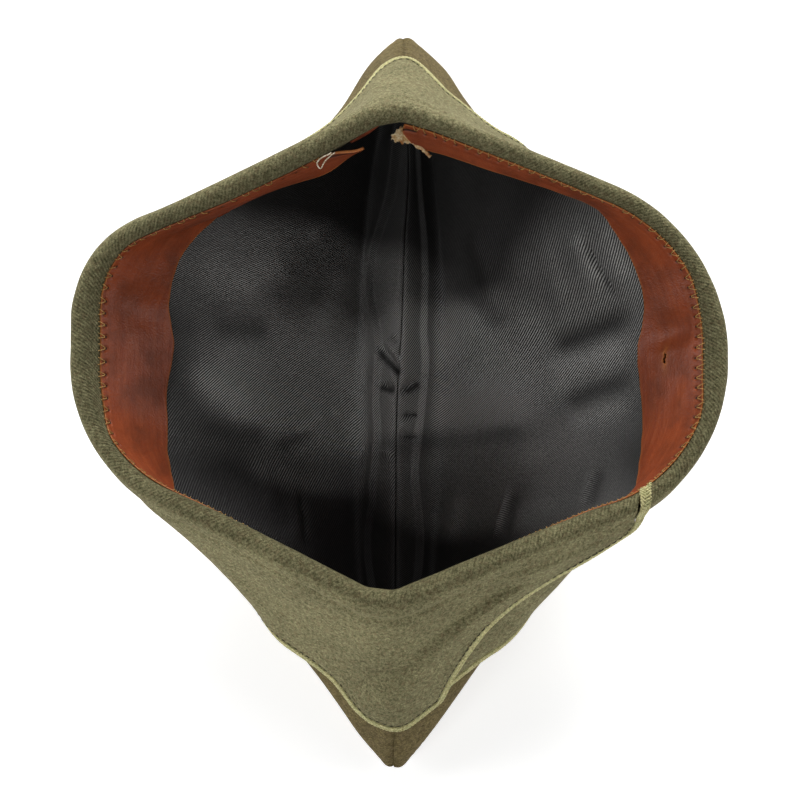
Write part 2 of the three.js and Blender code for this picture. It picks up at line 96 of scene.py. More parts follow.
# near the rim the upper end's edge lies up to 3 mm off the frame's
LAP_EDGE = (  # share of the curtain's height, around of the upper end's edge
    (0, 0.29), (0.11, 0.286), (0.22, 0.269), (0.29, 0.239), (0.35, 0.196), (0.44, 0.15),
    (0.57, 0.11), (0.73, 0.08), (0.86, 0.06), (1, 0.045),
)
LAP_WIDTH, LAP_RAISE, LAP_TOP, LAP_LIFTED, HEM_EASE = 0.05, 2.9, 0.28, 0.15, 0.6
CORD_ROOM = 0.013
BAND_LEAN = (  # around, how far the sweatband's free edge leans off the wall
    (-0.931, 0), (-0.58, 0), (-0.53, 3), (-0.45, 2), (-0.39, 0), (0.46, 0), (0.53, 1.5),
    (0.59, 0), (0.985, 0),
)
BAND_HANG, HANG_FROM, HANG_TO = 8, 55, 80
LINING_TOP = 9.2
CROWN_THICK, CURTAIN_THICK, FACING_THICK, LINING_THICK = 2, 2.2, 1.5, 1
LAYER_GAP, FACING_GAP = 1, 0.85
CURTAIN_IN = CROWN_THICK / 2 + LAYER_GAP
CURTAIN_OUT = CURTAIN_IN + CURTAIN_THICK
FACING_OUT = -CROWN_THICK / 2 - FACING_GAP
FACING_IN = FACING_OUT - FACING_THICK
FACING_DEPTH = 8
ROLL_RADIUS = (CURTAIN_OUT - FACING_IN) / 2
ROLL_MIDDLE = (CURTAIN_OUT + FACING_IN) / 2
LINING_IN = CROWN_THICK / 2 + LAYER_GAP + LINING_THICK / 2
START, START_SETTLED, END = 0.06, 0.5, 2.25  # the curtain's two ends, as even places around
SIDE_LENGTH = 290  # of the rim from the front seam to the back one

# ---- Curves and the surface of the crown ------------------------------------------------------


def smooth(x):
    t = np.clip(x, 0, 1)
    return t * t * (3 - 2 * t)


def mix(a, b, t):
    return a + (b - a) * t


def unit(v):
    return v / np.maximum(np.linalg.norm(v, axis=-1, keepdims=True), 1e-12)


def follow(table, x):
    """A smooth curve through the rows of a table, from its first column to its second."""
    at, to = np.array(table, float).T
    last = len(at) - 1
    k = np.arange(last + 1)
    a, b = np.maximum(k - 1, 0), np.minimum(k + 1, last)
    slope = (to[b] - to[a]) / (at[b] - at[a])
    i = np.searchsorted(at[1:-1], x, side="left")
    h = at[i + 1] - at[i]
    u = np.clip((x - at[i]) / h, 0, 1)
    bend = u * (1 - u) * h * ((1 - u) * slope[i] - u * slope[i + 1])
    return mix(to[i], to[i + 1], u * u * (3 - 2 * u)) + bend


def between(want, at, rows):
    """Rows of a table for the places wanted, where its own rows stand at the places at."""
    return np.column_stack([np.interp(want, at, column) for column in rows.T])


def lengths_along(line):
    return np.append(0, np.cumsum(np.linalg.norm(np.diff(line, axis=0), axis=1)))


def softened(line, passes):
    """The line with its corners eased; its two ends stay."""
    for _ in range(passes):
        line[1:-1] = (line[:-2] + 2 * line[1:-1] + line[2:]) / 4
    return line


def rim_plan():
    """The rim's plan: points, the angle that each faces, and the place of the back seam."""
    line_step, arc_step = 3, 0.6
    turns = []
    for i, (x, y, radius) in enumerate(RIM_CORNERS):
        bx, by, _ = RIM_CORNERS[i - 1]
        ax, ay, _ = RIM_CORNERS[(i + 1) % len(RIM_CORNERS)]
        heading, after = math.atan2(y - by, x - bx), math.atan2(ay - y, ax - x)
        turn = (after - heading + 3 * math.pi) % (2 * math.pi) - math.pi
        reach = radius * math.tan(turn / 2)
        centre = (x - reach * math.cos(heading) - radius * math.sin(heading),
                  y - reach * math.sin(heading) + radius * math.cos(heading))
        turns.append((radius, heading, turn, centre))
    points, seams = [], {}

    def on_arc(t, share):
        radius, heading, turn, centre = t
        facing = heading + turn * share - math.pi / 2
        return (centre[0] + radius * math.cos(facing), centre[1] + radius * math.sin(facing), facing)

    for i, t in enumerate(turns):
        half = max(2, math.ceil(t[0] * t[2] / arc_step / 2))
        seams[i] = len(points) + half
        points += [on_arc(t, k / (2 * half)) for k in range(2 * half + 1)]
        a, b = points[-1], on_arc(turns[(i + 1) % len(turns)], 0)
        pieces = math.ceil(math.hypot(b[0] - a[0], b[1] - a[1]) / line_step)
        points += [(mix(a[0], b[0], k / pieces), mix(a[1], b[1], k / pieces), a[2]) for k in range(1, pieces)]
    front = seams[FRONT_CORNER]
    return np.array(points[front:] + points[:front + 1]), seams[BACK_CORNER] - front


def section(plan, back, share, length, width, height, steps):
    """The section at a share of the way down, with even steps on each side."""
    x, y, facing = plan.T
    nx, ny = np.cos(facing), np.sin(facing)
    reach = np.hypot(width * nx, length * ny)
    fold_x, fold_y = width ** 2 * nx / reach, length ** 2 * ny / reach
    rim_z = RIM_HEIGHT - RIM_DIP * (x / RIM_HALF_WIDTH) ** 2
    fold_z = height + TIP_LIFT * np.abs(fold_y / length) ** 4
    loop = np.stack([mix(x, fold_x, share), mix(y, fold_y, share), mix(rim_z, fold_z, share)], -1)
    row = []
    for part in (loop[:back + 1], loop[back:]):
        along = np.append(0, np.cumsum(np.hypot(*np.diff(part[:, :2], axis=0).T)))
        want = along[-1] * np.arange(steps) / steps
        row.append(between(want, along, part))
    return np.vstack(row)


STEPS, WALL_ROWS, FOLD_ROWS = 400, 96, 32  # on each side, down the wall and over the fold
SOFT_AT, SOFT_WIDTH, SOFT_PASSES = 1.145, 0.06, 260
# the surface that the lining follows, against the crown's
LINED_SHORTER, LINED_NARROWER, LINED_HIGHER, LINED_SEAM_RISE = 12, 3.5, 3.6, 3.3


def soften_fold(points, around):
    """Rounds the sharp fold of the wall beside the back seam on the left, as thick wool lies there."""
    soft = points
    for _ in range(SOFT_PASSES):
        soft = (np.roll(soft, 1, 1) + 2 * soft + np.roll(soft, -1, 1)) / 4
    return mix(points, soft, np.exp(-((around - SOFT_AT) / SOFT_WIDTH) ** 2)[None, :, None])


def make_surface(length=FOLD_HALF_LENGTH, width=FOLD_HALF_WIDTH, height=FOLD_HEIGHT, rise=0.0):
    """A whole surface as a table of points, rows going down and columns around, and its normals."""
    plan, back = rim_plan()
    shares = np.linspace(0, 1, WALL_ROWS + 1)
    rows = np.array([section(plan, back, s, length, width, height, STEPS) for s in shares])
    along = np.roll(rows, -1, 1) - np.roll(rows, 1, 1)
    out = unit(np.cross((rows[-1] - rows[0])[None], along))
    around = np.arange(2 * STEPS) / STEPS
    share = shares[:, None]
    swell = follow(WALL_SWELL, around) * 4 * share * (1 - share)
    swell = swell + follow(RIM_SWELL, around) * (1 - share) ** 2
    wall = rows + out * swell[..., None]
    twin = (2 * STEPS - np.arange(2 * STEPS)) % (2 * STEPS)
    edge = wall[-1]
    run = unit(edge - wall[-2])
    meet = (edge + edge[twin]) / 2
    middle = np.maximum(0, 1 - (meet[:, 1] / length) ** 2)
    lift = mix(TIP_SEAM_RISE, SEAM_RISE, middle) + rise
    seam = np.stack([0 * lift, meet[:, 1] * SEAM_LENGTH_SHARE, meet[:, 2] + lift], -1)
    turn = TIP_TURN + np.minimum(FOLD_TURN, TURN_SHARE * np.abs(edge[:, 0]))
    leave = edge + run * turn[:, None]
    enter = seam + np.stack([edge[:, 0] * SEAM_APPROACH, 0 * lift, 0 * lift], -1)
    fold = []
    for t in np.arange(1, FOLD_ROWS + 1) / FOLD_ROWS:
        s = 1 - t
        fold.append(s ** 3 * edge + 3 * s * s * t * leave + 3 * s * t * t * enter + t ** 3 * seam)
    points = soften_fold(np.concatenate([wall, np.array(fold)]), around)
    along = np.roll(points, -1, 1) - np.roll(points, 1, 1)
    downward = np.concatenate([points[1:], points[-1:]]) - np.concatenate([points[:1], points[:-1]])
    normals = unit(np.cross(downward, along))
    last = normals[-1] + normals[-1][twin]
    last[:, 0] = 0
    normals[-1] = unit(last)
    return points, normals


def with_lengths(points, normals):
    """The surface, and with it a table of how far down the cloth each point lies from the rim."""
    steps = np.linalg.norm(np.diff(points, axis=0), axis=-1)
    total = np.vstack([np.zeros(len(steps[0])), np.cumsum(steps, axis=0)])
    return points, normals, np.repeat(total[..., None], 3, -1)


CROWN = with_lengths(*make_surface())
LINED = with_lengths(*make_surface(
    FOLD_HALF_LENGTH - LINED_SHORTER, FOLD_HALF_WIDTH - LINED_NARROWER, FOLD_HEIGHT + LINED_HIGHER,
    LINED_SEAM_RISE))


def place(surface, around, down):
    """The places on a surface at around and down, and the ways out from it."""
    around, down = np.broadcast_arrays(np.asarray(around, float), np.asarray(down, float))
    row = np.where(down <= 1, down * WALL_ROWS, WALL_ROWS + (down - 1) * FOLD_ROWS)
    column = (around % 2) * STEPS
    i = np.clip(np.floor(row), 0, len(surface[0]) - 2).astype(int)
    j = np.floor(column).astype(int) % (2 * STEPS)
    nxt = (j + 1) % (2 * STEPS)
    part, across = (row - i)[..., None], (column - np.floor(column))[..., None]
    made = [mix(mix(t[i, j], t[i, nxt], across), mix(t[i + 1, j], t[i + 1, nxt], across), part)
            for t in surface[:2]]
    return made[0], unit(made[1])


def length_down(surface, around, down):
    """How far down the cloth a place lies, along its surface from the rim."""
    return place((surface[2], surface[1]), around, down)[0][..., 0]


def offset(surface, around, down, by):
    """Places that lie by millimetres out from a surface."""
    point, out = place(surface, around, down)
    return point + out * np.asarray(by, float)[..., None]


def rim_axes(around):
    """Places on the rim, and the ways out from the cap and up along its wall."""
    point, out = place(CROWN, around, 0)
    return point, out, unit(point - place(CROWN, around, 0.02)[0])


def down_at(around, depth):
    """The down that lies a number of millimetres below the middle of the rim's roll."""
    step = 0.1
    span = np.linalg.norm(place(CROWN, around, 0)[0] - place(CROWN, around, step)[0], axis=-1)
    return depth / span * step


# ---- Creases and waviness ---------------------------------------------------------------------


SHARP_UNDER = 1.6


def strokes(x, y, table):
    """Creases drawn in plan. Each row is the two ends of a crease, its half width and how far it stands up;
    one with a half width under SHARP_UNDER comes to a sharp line."""
    height = np.zeros_like(x)
    for ax, ay, bx, by, width, rise in table:
        dx, dy = bx - ax, by - ay
        t = np.clip(((x - ax) * dx + (y - ay) * dy) / (dx * dx + dy * dy), 0, 1)
        away = np.hypot(x - ax - t * dx, y - ay - t * dy)
        fade = smooth(t / 0.25) * smooth((1 - t) / 0.25)
        shape = np.exp(-away / width) if width < SHARP_UNDER else np.exp(-(away / width) ** 2)
        height += rise * shape * (0.15 + 0.85 * fade)
    return height


def waver(u, v, length, seed, count=7):
    """Smooth random waviness from -1 to 1, with waves about a length long."""
    draw = np.random.RandomState(seed)
    total = np.zeros_like(u)
    for _ in range(count):
        turn, phase = draw.uniform(0, 2 * math.pi, 2)
        wave = 2 * math.pi / (length * draw.uniform(0.7, 1.6))
        total += np.sin(wave * (u * math.cos(turn) + v * math.sin(turn)) + phase)
    return total / count * 1.6


# ---- Materials --------------------------------------------------------------------------------


def linear(hex_colour):
    """An sRGB hex colour as linear red, green, blue and alpha."""
    parts = [int(hex_colour[i:i + 2], 16) / 255 for i in (1, 3, 5)]
    return [c / 12.92 if c <= 0.04045 else ((c + 0.055) / 1.055) ** 2.4 for c in parts] + [1]


def node(tree, kind, inputs=(), **settings):
    """Adds a node with its settings, and its sockets' values or links."""
    made = tree.nodes.new("ShaderNode" + kind)
    for name, value in settings.items():
        setattr(made, name, value)
    for socket, value in dict(inputs).items():
        if isinstance(value, bpy.types.NodeSocket):
            tree.links.new(value, made.inputs[socket])
        else:
            made.inputs[socket].default_value = value
    return made


def new_material(name, **values):
    """A material with its surface shader, whose sockets get the values that are the same all over, and the
    places on the piece that its patterns go by."""
    material = bpy.data.materials.new(name)
    material.use_nodes = True
    tree = material.node_tree
    shader = tree.nodes["Principled BSDF"]
    for socket, value in values.items():
        shader.inputs[socket.replace("_", " ")].default_value = value
    return material, tree, shader, node(tree, "TexCoord").outputs["Object"]


def blend_colours(tree, factor, a, b, kind="MIX"):
    """Mixes two colours, each of them a socket or an sRGB hex colour."""
    a, b = (linear(colour) if isinstance(colour, str) else colour for colour in (a, b))
    return node(tree, "Mix", {0: factor, 6: a, 7: b}, data_type="RGBA", blend_type=kind).outputs[2]


def maths(tree, operation, *values):
    return node(tree, "Math", dict(enumerate(values)), operation=operation).outputs[0]


def times(tree, product, *values):
    for value in values:
        product = maths(tree, "MULTIPLY", product, value)
    return product


def stretch(tree, value, low, high, to_low=0.0, to_high=1.0):
    return node(tree, "MapRange", {0: value, 1: low, 2: high, 3: to_low, 4: to_high}).outputs[0]


def noise(tree, vector, scale, detail=2.0, roughness=0.5):
    return node(tree, "TexNoise", {"Vector": vector, "Scale": scale, "Detail": detail,
                                   "Roughness": roughness}).outputs["Fac"]


def flat_map(tree, name="cloth"):
    return node(tree, "UVMap", uv_map=name).outputs[0]


# the attribute holds real edge wear on the leather, and painted light and painted shade on the lining
def wear_and_painted_light_share(tree):
    return node(tree, "Attribute", attribute_name="wear_and_painted_light").outputs["Fac"]


def turned(tree, cloth, angle):
    return node(tree, "Mapping", {"Vector": cloth, "Rotation": (0, 0, -math.radians(angle))}).outputs[0]


def scaled(tree, cloth, x, y):
    return node(tree, "Mapping", {"Vector": cloth, "Scale": (x, y, 1)}).outputs[0]


def ribs(tree, across, spacing, wobble, wobble_scale):
    """Twill lines a spacing apart, along one axis of a cloth map in millimetres."""
    waves_per_unit = 2 * math.pi / 20
    return node(tree, "TexWave", {
        "Vector": across, "Scale": waves_per_unit / spacing, "Distortion": wobble, "Detail": 2.0,
        "Detail Scale": wobble_scale, "Detail Roughness": 0.6}, bands_direction="X").outputs["Fac"]


def dress(tree, shader, colour, layers, rough=None):
    """Gives a surface its colour, its roughness where that varies, and its bumps: layers of a height and its
    depth in metres, one on another."""
    tree.links.new(colour, shader.inputs["Base Color"])
    if rough is not None:
        tree.links.new(rough, shader.inputs["Roughness"])
    normal = None
    for height, depth in layers:
        inputs = {"Height": height, "Distance": depth, "Strength": 1.0}
        if normal is not None:
            inputs["Normal"] = normal
        normal = node(tree, "Bump", inputs).outputs[0]
    tree.links.new(normal, shader.inputs["Normal"])


def wool(name, dark, middle, light, rib_share, angle, ribbed_to):
    """Wool serge: steep twill ribs in mixed olive and brown yarn. Handling keeps the ribs clear on the rolled
    rim; below its pressed line a brushed nap hides them. The inner side of the roll is painted darker, as
    painted shade."""
    material, tree, shader, place_on = new_material(
        name, Roughness=0.95, Sheen_Weight=0.12, Sheen_Roughness=0.5, Sheen_Tint=linear("#c2b994"),
        Specular_IOR_Level=0.1)
    cloth = flat_map(tree)
    across = turned(tree, cloth, angle)
    spacing = 1.1  # serge ribs are 0.7 mm apart; they are drawn a little coarser, to show
    twill = ribs(tree, across, spacing, 1.6, 1.3)
    picks = noise(tree, scaled(tree, across, 0.9, 0.35), 1.0, 2, 0.6)
    nap = noise(tree, place_on, 850, 3, 0.65)  # tangled fibres, about 1 mm
    fine = noise(tree, place_on, 2300, 2, 0.65)
    patches = noise(tree, place_on, 45, 3, 0.6)
    along, depth, _ = node(tree, "SeparateXYZ", {0: cloth}).outputs
    at_sides = maths(tree, "ABSOLUTE", maths(tree, "SINE", times(tree, along, math.pi / SIDE_LENGTH)))
    bare = times(tree, stretch(tree, depth, ribbed_to, ribbed_to + 5, 1.0, 0.2),
                 stretch(tree, at_sides, 0.3, 0.9, 0.5, 1.1))
    painted_roll_shade = stretch(tree, depth, -10, -2, 0.62, 1.0)  # painted shade: the side of the roll that faces into the cap, and its facing, are painted darker
    colour = blend_colours(tree, stretch(tree, nap, 0.3, 0.7), dark, light)
    colour = blend_colours(tree, 0.35, colour, middle)
    brown = stretch(tree, noise(tree, place_on, 620, 2, 0.6), 0.48, 0.66, 0.0, 0.5)
    colour = blend_colours(tree, brown, colour, "#6a5b42")
    rib = times(tree, stretch(tree, twill, 0.05, 0.95, -1.0, 1.0),
                stretch(tree, picks, 0.32, 0.68, 0.15, 1.5), bare, rib_share)
    shade = maths(tree, "ADD", rib, stretch(tree, fine, 0.3, 0.7, 0.54, 1.46))
    shade = times(tree, shade, stretch(tree, patches, 0.3, 0.7, 0.86, 1.14), painted_roll_shade)
    grey = node(tree, "CombineColor", {0: shade, 1: shade, 2: shade}).outputs[0]
    dress(tree, shader, blend_colours(tree, 1.0, colour, grey, "MULTIPLY"),
          [(rib, 0.00014), (nap, 0.0005), (fine, 0.0003)])
    return material


def straw_braid(name):
    """Cotton and straw-coloured braid: soft twisted strands, dull, with paler and greener threads."""
    material, tree, shader, place_on = new_material(
        name, Roughness=0.85, Sheen_Weight=0.15, Specular_IOR_Level=0.25)
    strands = noise(tree, place_on, 1500, 2, 0.6)
    tint = noise(tree, place_on, 420, 2, 0.5)
    colour = blend_colours(tree, stretch(tree, strands, 0.32, 0.68), "#8b8453", "#ddd6a0")
    colour = blend_colours(tree, stretch(tree, tint, 0.45, 0.62, 0, 0.4), colour, "#a9ae7c")
    dress(tree, shader, colour, [(strands, 0.0004)])
    return material


def lining_twill(name, angle):
    """Black cotton twill: fine smooth diagonal lines whose crowns catch the light. Its lines are painted
    paler, and are smoother, in pools in the middle, as painted light; towards both ends of the fold they are
    painted black and dull, as painted shade."""
    material, tree, shader, place_on = new_material(name, Specular_IOR_Level=0.6)
    spacing = 0.82  # the lines are 0.5 mm apart; they are drawn coarser, to show
    twill = ribs(tree, turned(tree, flat_map(tree), angle), spacing, 0.35, 0.8)
    yarn = noise(tree, place_on, 1800, 2, 0.6)
    patches = noise(tree, place_on, 26, 1.5, 0.5)
    # painted light and shade: the lines are painted paler in the lining's pools of painted light and darker
    # towards the fold's ends
    line = times(tree, stretch(tree, twill, 0.35, 0.75), stretch(tree, yarn, 0.3, 0.7, 0.5, 1.25),
                 stretch(tree, patches, 0.36, 0.64, 0.65, 1.2),
                 stretch(tree, wear_and_painted_light_share(tree), 0, 1, 0.1, 2.2))
    colour = blend_colours(tree, line, "#060606", "#bebebb")
    rough = maths(tree, "ADD", stretch(tree, line, 0, 1, 0.62, 0.36),
                  stretch(tree, patches, 0.3, 0.7, 0.08, -0.05))
    dress(tree, shader, colour, [(twill, 0.00022), (yarn, 0.0001)], rough)
    return material


def sweatband_leather(name):
    """Tanned sheepskin, worn smooth: a satin skin with fine grain, faint stretch marks along it, blotches
    where it was handled, needle holes along its stitched edge and pale cut or torn edges."""
    material, tree, shader, place_on = new_material(name, Specular_IOR_Level=0.3)
    cloth = flat_map(tree)
    cells = node(tree, "TexVoronoi", {"Vector": place_on, "Scale": 1500.0}, feature="F1").outputs["Distance"]
    streaks = noise(tree, scaled(tree, cloth, 0.07, 1), 0.6, 3, 0.55)
    marks = noise(tree, scaled(tree, cloth, 0.16, 1.6), 0.8, 2, 0.6)
    blotch = noise(tree, place_on, 75, 3, 0.65)
    speck = noise(tree, place_on, 700, 3, 0.7)
    colour = blend_colours(tree, stretch(tree, streaks, 0.35, 0.68), "#83391c", "#934726")
    colour = blend_colours(tree, stretch(tree, blotch, 0.4, 0.68, 0, 0.7), colour, "#5a2710")
    colour = blend_colours(tree, stretch(tree, marks, 0.68, 0.82, 0, 0.22), colour, "#a86f4c")
    colour = blend_colours(tree, stretch(tree, speck, 0.3, 0.7, 0.0, 0.25), colour, "#8a4b30")
    colour = blend_colours(tree, wear_and_painted_light_share(tree), colour, "#b06a34")
    along, across, _ = node(tree, "SeparateXYZ", {0: flat_map(tree, "stitches")}).outputs
    from_hole = times(tree, maths(tree, "SUBTRACT", maths(tree, "FRACT", along), 0.5), 4.0)
    from_centre = node(tree, "CombineXYZ", {0: from_hole, 1: across}).outputs[0]
    away = node(tree, "VectorMath", {0: from_centre}, operation="LENGTH").outputs["Value"]
    colour = blend_colours(tree, stretch(tree, away, 0.28, 0.6, 0.9, 0.0), colour, "#1a0a05")
    rough = maths(tree, "ADD", stretch(tree, blotch, 0.3, 0.7, 0.42, 0.5),
                  stretch(tree, speck, 0.3, 0.7, -0.05, 0.07))
    pulled = stretch(tree, away, 0.0, 1.3, -1.0, 0.0)  # the thread draws the skin in round each hole
    dress(tree, shader, colour, [(pulled, 0.0005), (streaks, 0.00006), (marks, 0.00004), (cells, 0.0001),
                                 (speck, 0.00008), (blotch, 0.0005)], rough)
    return material


def thread(name, dark, light):
    """Sewing thread: two twisted plies, slightly shiny."""
    material, tree, shader, place_on = new_material(name, Roughness=0.7, Specular_IOR_Level=0.3)
    plies = noise(tree, place_on, 1800, 2, 0.6)
    colour = blend_colours(tree, stretch(tree, plies, 0.35, 0.65), dark, light)
    dress(tree, shader, colour, [(plies, 0.00015)])
    return material


def suede(name):
    """The torn inside of the leather: pale, matt and fibrous."""
    material, tree, shader, place_on = new_material(
        name, Roughness=0.95, Sheen_Weight=0.2, Specular_IOR_Level=0.2)
    fibres = noise(tree, place_on, 900, 3, 0.7)
    stain = noise(tree, place_on, 260, 2, 0.5)
    colour = blend_colours(tree, stretch(tree, fibres, 0.35, 0.65), "#c09352", "#f0e0b8")
    colour = blend_colours(tree, stretch(tree, stain, 0.5, 0.65), colour, "#a86a35")
    dress(tree, shader, colour, [(fibres, 0.0006)])
    return material


def light_table(name, glow):
    """White opal acrylic of a light table: matt, with a faint glow from below."""
    material, tree, shader, place_on = new_material(
        name, Roughness=0.6, Specular_IOR_Level=0.1, Emission_Strength=glow, Emission_Color=(1, 1, 1, 1))
    haze = noise(tree, place_on, 3, 2, 0.5)
    tree.links.new(blend_colours(tree, haze, "#f7f7f7", "#fcfcfc"), shader.inputs["Base Color"])
    return material


CURTAIN_WOOL = wool("wool_serge_curtain", "#3d3b24", "#686647", "#a19b76", 0.26, 33, -5.5)
CROWN_WOOL = wool("wool_serge_crown", "#32290f", "#554b2c", "#827450", 0.2, 33, 30)
LINING_TWILL = lining_twill("black_cotton_twill", 42)
BRAID = straw_braid("straw_cotton_braid")
LEATHER = sweatband_leather("brown_sheepskin")
TAN_THREAD = thread("tan_linen_thread", "#8a7340", "#c99a5c")
DARK_THREAD = thread("brown_cotton_thread", "#1d1a10", "#37311f")
LOOSE_THREAD = thread("undyed_linen_thread", "#a8987a", "#efe4cf")
SUEDE = suede("torn_suede")

# ---- Laying flat panels onto the cap ----------------------------------------------------------


def finish_mesh(name, mesh, material, nodes=()):
    mesh.materials.append(material)
    mesh.shade_smooth()
    piece = bpy.data.objects.new(name, mesh)
    bpy.context.scene.collection.objects.link(piece)
    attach(piece, "root")
    if nodes:
        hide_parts(*nodes)
    return piece


def panel(name, across, along, lay, thickness, material, nodes=(), wear_and_painted_light=None, stitches=None, skive=None,
          gone=None):
    """A flat grid with columns at across and rows at along, laid by lay(across, along), which gives places
    in millimetres and the cloth map; then it gets its thickness, on the side away from its face. skive thins
    it and gone cuts a hole in it."""
    across, along = np.asarray(across, float), np.asarray(along, float)
    bm = bmesh.new()
    bmesh.ops.create_grid(bm, x_segments=len(across) - 1, y_segments=len(along) - 1, size=0.5)
    bmesh.ops.reverse_faces(bm, faces=bm.faces)

    def flat_places(vertices):
        spot = np.array([v.co for v in vertices]) + 0.5
        columns = np.interp(spot[:, 0] * (len(across) - 1), np.arange(len(across)), across)
        rows = np.interp(spot[:, 1] * (len(along) - 1), np.arange(len(along)), along)
        return columns, rows

    if gone is not None:
        bm.verts.ensure_lookup_table()
        out = gone(*flat_places(bm.verts))
        bmesh.ops.delete(bm, geom=[v for v, cut in zip(bm.verts, out) if cut], context="VERTS")
    a, b = flat_places(bm.verts)
    mesh = bpy.data.meshes.new(name)
    bm.to_mesh(mesh)
    bm.free()
    points, cloth = lay(a, b)
    mesh.vertices.foreach_set("co", (points * MM).ravel())
    corners = np.zeros(len(mesh.loops), int)
    mesh.loops.foreach_get("vertex_index", corners)
    mesh.uv_layers.new(name="cloth").data.foreach_set("uv", cloth[corners].ravel())
    if stitches is not None:
        mesh.uv_layers.new(name="stitches").data.foreach_set("uv", stitches(a, b)[corners].ravel())
    # real wear on the leather; painted light and painted shade on the lining
    if wear_and_painted_light is not None:
        mesh.attributes.new("wear_and_painted_light", "FLOAT", "POINT").data.foreach_set("value", wear_and_painted_light(a, b).astype(np.float32))
    mesh.update()
    piece = finish_mesh(name, mesh, material, nodes)
    thick = piece.modifiers.new("thickness", "SOLIDIFY")
    thick.thickness, thick.offset = thickness * MM, -1
    if skive is not None:
        group = piece.vertex_groups.new(name="thickness")
        shares = np.round(skive(a, b), 2)
        for share in np.unique(shares):
            group.add(np.flatnonzero(shares == share).tolist(), float(share), "REPLACE")
        thick.vertex_group = group.name
    return piece


def tubes(name, runs, radius, material, nodes=(), sides=1):
    """Thread or strands: each run of points becomes a round tube with closed ends."""
    curve = bpy.data.curves.new(name, "CURVE")
    curve.dimensions = "3D"
    curve.bevel_depth, curve.bevel_resolution, curve.use_fill_caps = radius * MM, sides, True
    for run in runs:
        spline = curve.splines.new("POLY")
        spline.points.add(len(run) - 1)
        spline.points.foreach_set("co", np.column_stack([np.asarray(run) * MM, np.ones(len(run))]).ravel())
    holder = bpy.data.objects.new(name, curve)
    bpy.context.scene.collection.objects.link(holder)
    bpy.context.view_layer.update()
    mesh = bpy.data.meshes.new_from_object(holder.evaluated_get(bpy.context.evaluated_depsgraph_get()))
    bpy.data.objects.remove(holder)
    mesh.name = name
    return finish_mesh(name, mesh, material, nodes)


def round_edge(distance, radius):
    """How far the face drops at a distance from a turned edge."""
    d = np.clip(distance, 0, radius)
    return radius - np.sqrt(np.maximum(radius ** 2 - (radius - d) ** 2, 0))


def edge_places(low, high, count, fine=0.0, steps=4):
    """Places from low to high, with a few more that lie close to each end."""
    middle = np.linspace(low + fine, high - fine, count)
    if not fine:
        return middle
    ends = np.linspace(0, 1, steps + 1)[:-1] ** 1.3 * fine
    return np.concatenate([low + ends, middle, (high - ends)[::-1]])


# ---- Crown ------------------------------------------------------------------------------------

SEAM_ROUND, SEAM_SINK = 3.4, 0.5
SEAM_HALF_GAP = 0.04  # each side stops this far from the middle
PUCKER_RISE, PUCKER_REACH, PUCKER_LENGTH = 0.22, 4, 7.5


def meet_at_seam(p, side, ends):
    """Keeps a side's places on its own side of the middle, and puts its ends against the other side."""
    p[:, 0] = side * np.maximum(side * p[:, 0], SEAM_HALF_GAP)
    p[ends, 0] = side * SEAM_HALF_GAP


def crown_side(side):
    def lay(along, down):
        around = np.where(side > 0, along, 2 - along)
        q, out = place(CROWN, around, down)
        u, v = around * SIDE_LENGTH, length_down(CROWN, around, down)
        off_seam = np.abs(q[:, 0])
        sink = SEAM_SINK * round_edge(off_seam, SEAM_ROUND)
        wave = np.sin(2 * math.pi * v / PUCKER_LENGTH + side)
        pucker = PUCKER_RISE * np.exp(-(off_seam / PUCKER_REACH) ** 2) * wave
        p = q + out * (CROWN_THICK / 2 - sink + pucker + 0.25 * waver(u, v, 26, 3))[:, None]
        p[:, 2] = np.maximum(p[:, 2], 0)
        meet_at_seam(p, side, (along <= 0) | (along >= 1) | (down >= 2))
        return p, np.stack([u, v], -1)

    hand = "right" if side > 0 else "left"
    across = edge_places(0, 1, 190, 0.02, 7)
    down = np.concatenate([
        np.linspace(0, 0.3, 10)[:-1], np.linspace(0.3, 0.92, 44)[:-1], np.linspace(0.92, 2, 44)])
    # the left side is laid from the back, so that its face also looks outwards
    made = lay if side > 0 else (lambda a, d: lay(1 - a, d))
    return panel("crown_side_" + hand, across, down, made, 1.6, CROWN_WOOL, ["crown_" + hand])


crown_sides = [crown_side(1), crown_side(-1)]

# ---- Curtain ----------------------------------------------------------------------------------


def hem_at(around):
    return follow(HEM, np.asarray(around) % 2)


def curtain_height(around):
    """How far the hem lies from the rim, straight down."""
    return np.linalg.norm(place(CROWN, around, hem_at(around))[0] - place(CROWN, around, 0)[0], axis=-1)


def lap_edge(share):
    return follow(LAP_EDGE, share)


def lap_start(share):
    return mix(lap_edge(np.zeros_like(share)) + CORD_ROOM, lap_edge(share) - LAP_WIDTH,
               smooth((share - LAP_TOP / 2) / (LAP_TOP / 2)))


def lap_raise(around, share):
    run = 0.05
    begun = smooth((around - 2 - (lap_start(np.maximum(share, LAP_TOP)) - 1.5 * run)) / run)
    return LAP_RAISE * begun * smooth(share / LAP_LIFTED)


def curtain_around(even, share):
    return np.where(
        even < START_SETTLED,
        mix(lap_start(share), START_SETTLED, (even - START) / (START_SETTLED - START)),
        np.where(even > 2, mix(2, 2 + lap_edge(share), (even - 2) / (END - 2)), even))


def on_curtain(around, share, by):
    return offset(CROWN, around, share * hem_at(around),
                  by + HEM_EASE * smooth(2 * share - 1) + lap_raise(around, share))


def on_roll(around, angle, radius, middle):
    point, out, up = rim_axes(around)
    return (point + out * (middle + radius * np.cos(angle))[:, None]
            + up * (radius * np.sin(angle))[:, None])


def roll_thin(around):
    """How much thinner the roll is, on its inner side, where the cloth is pulled tighter."""
    return follow(ROLL_THIN, np.asarray(around) % 2)


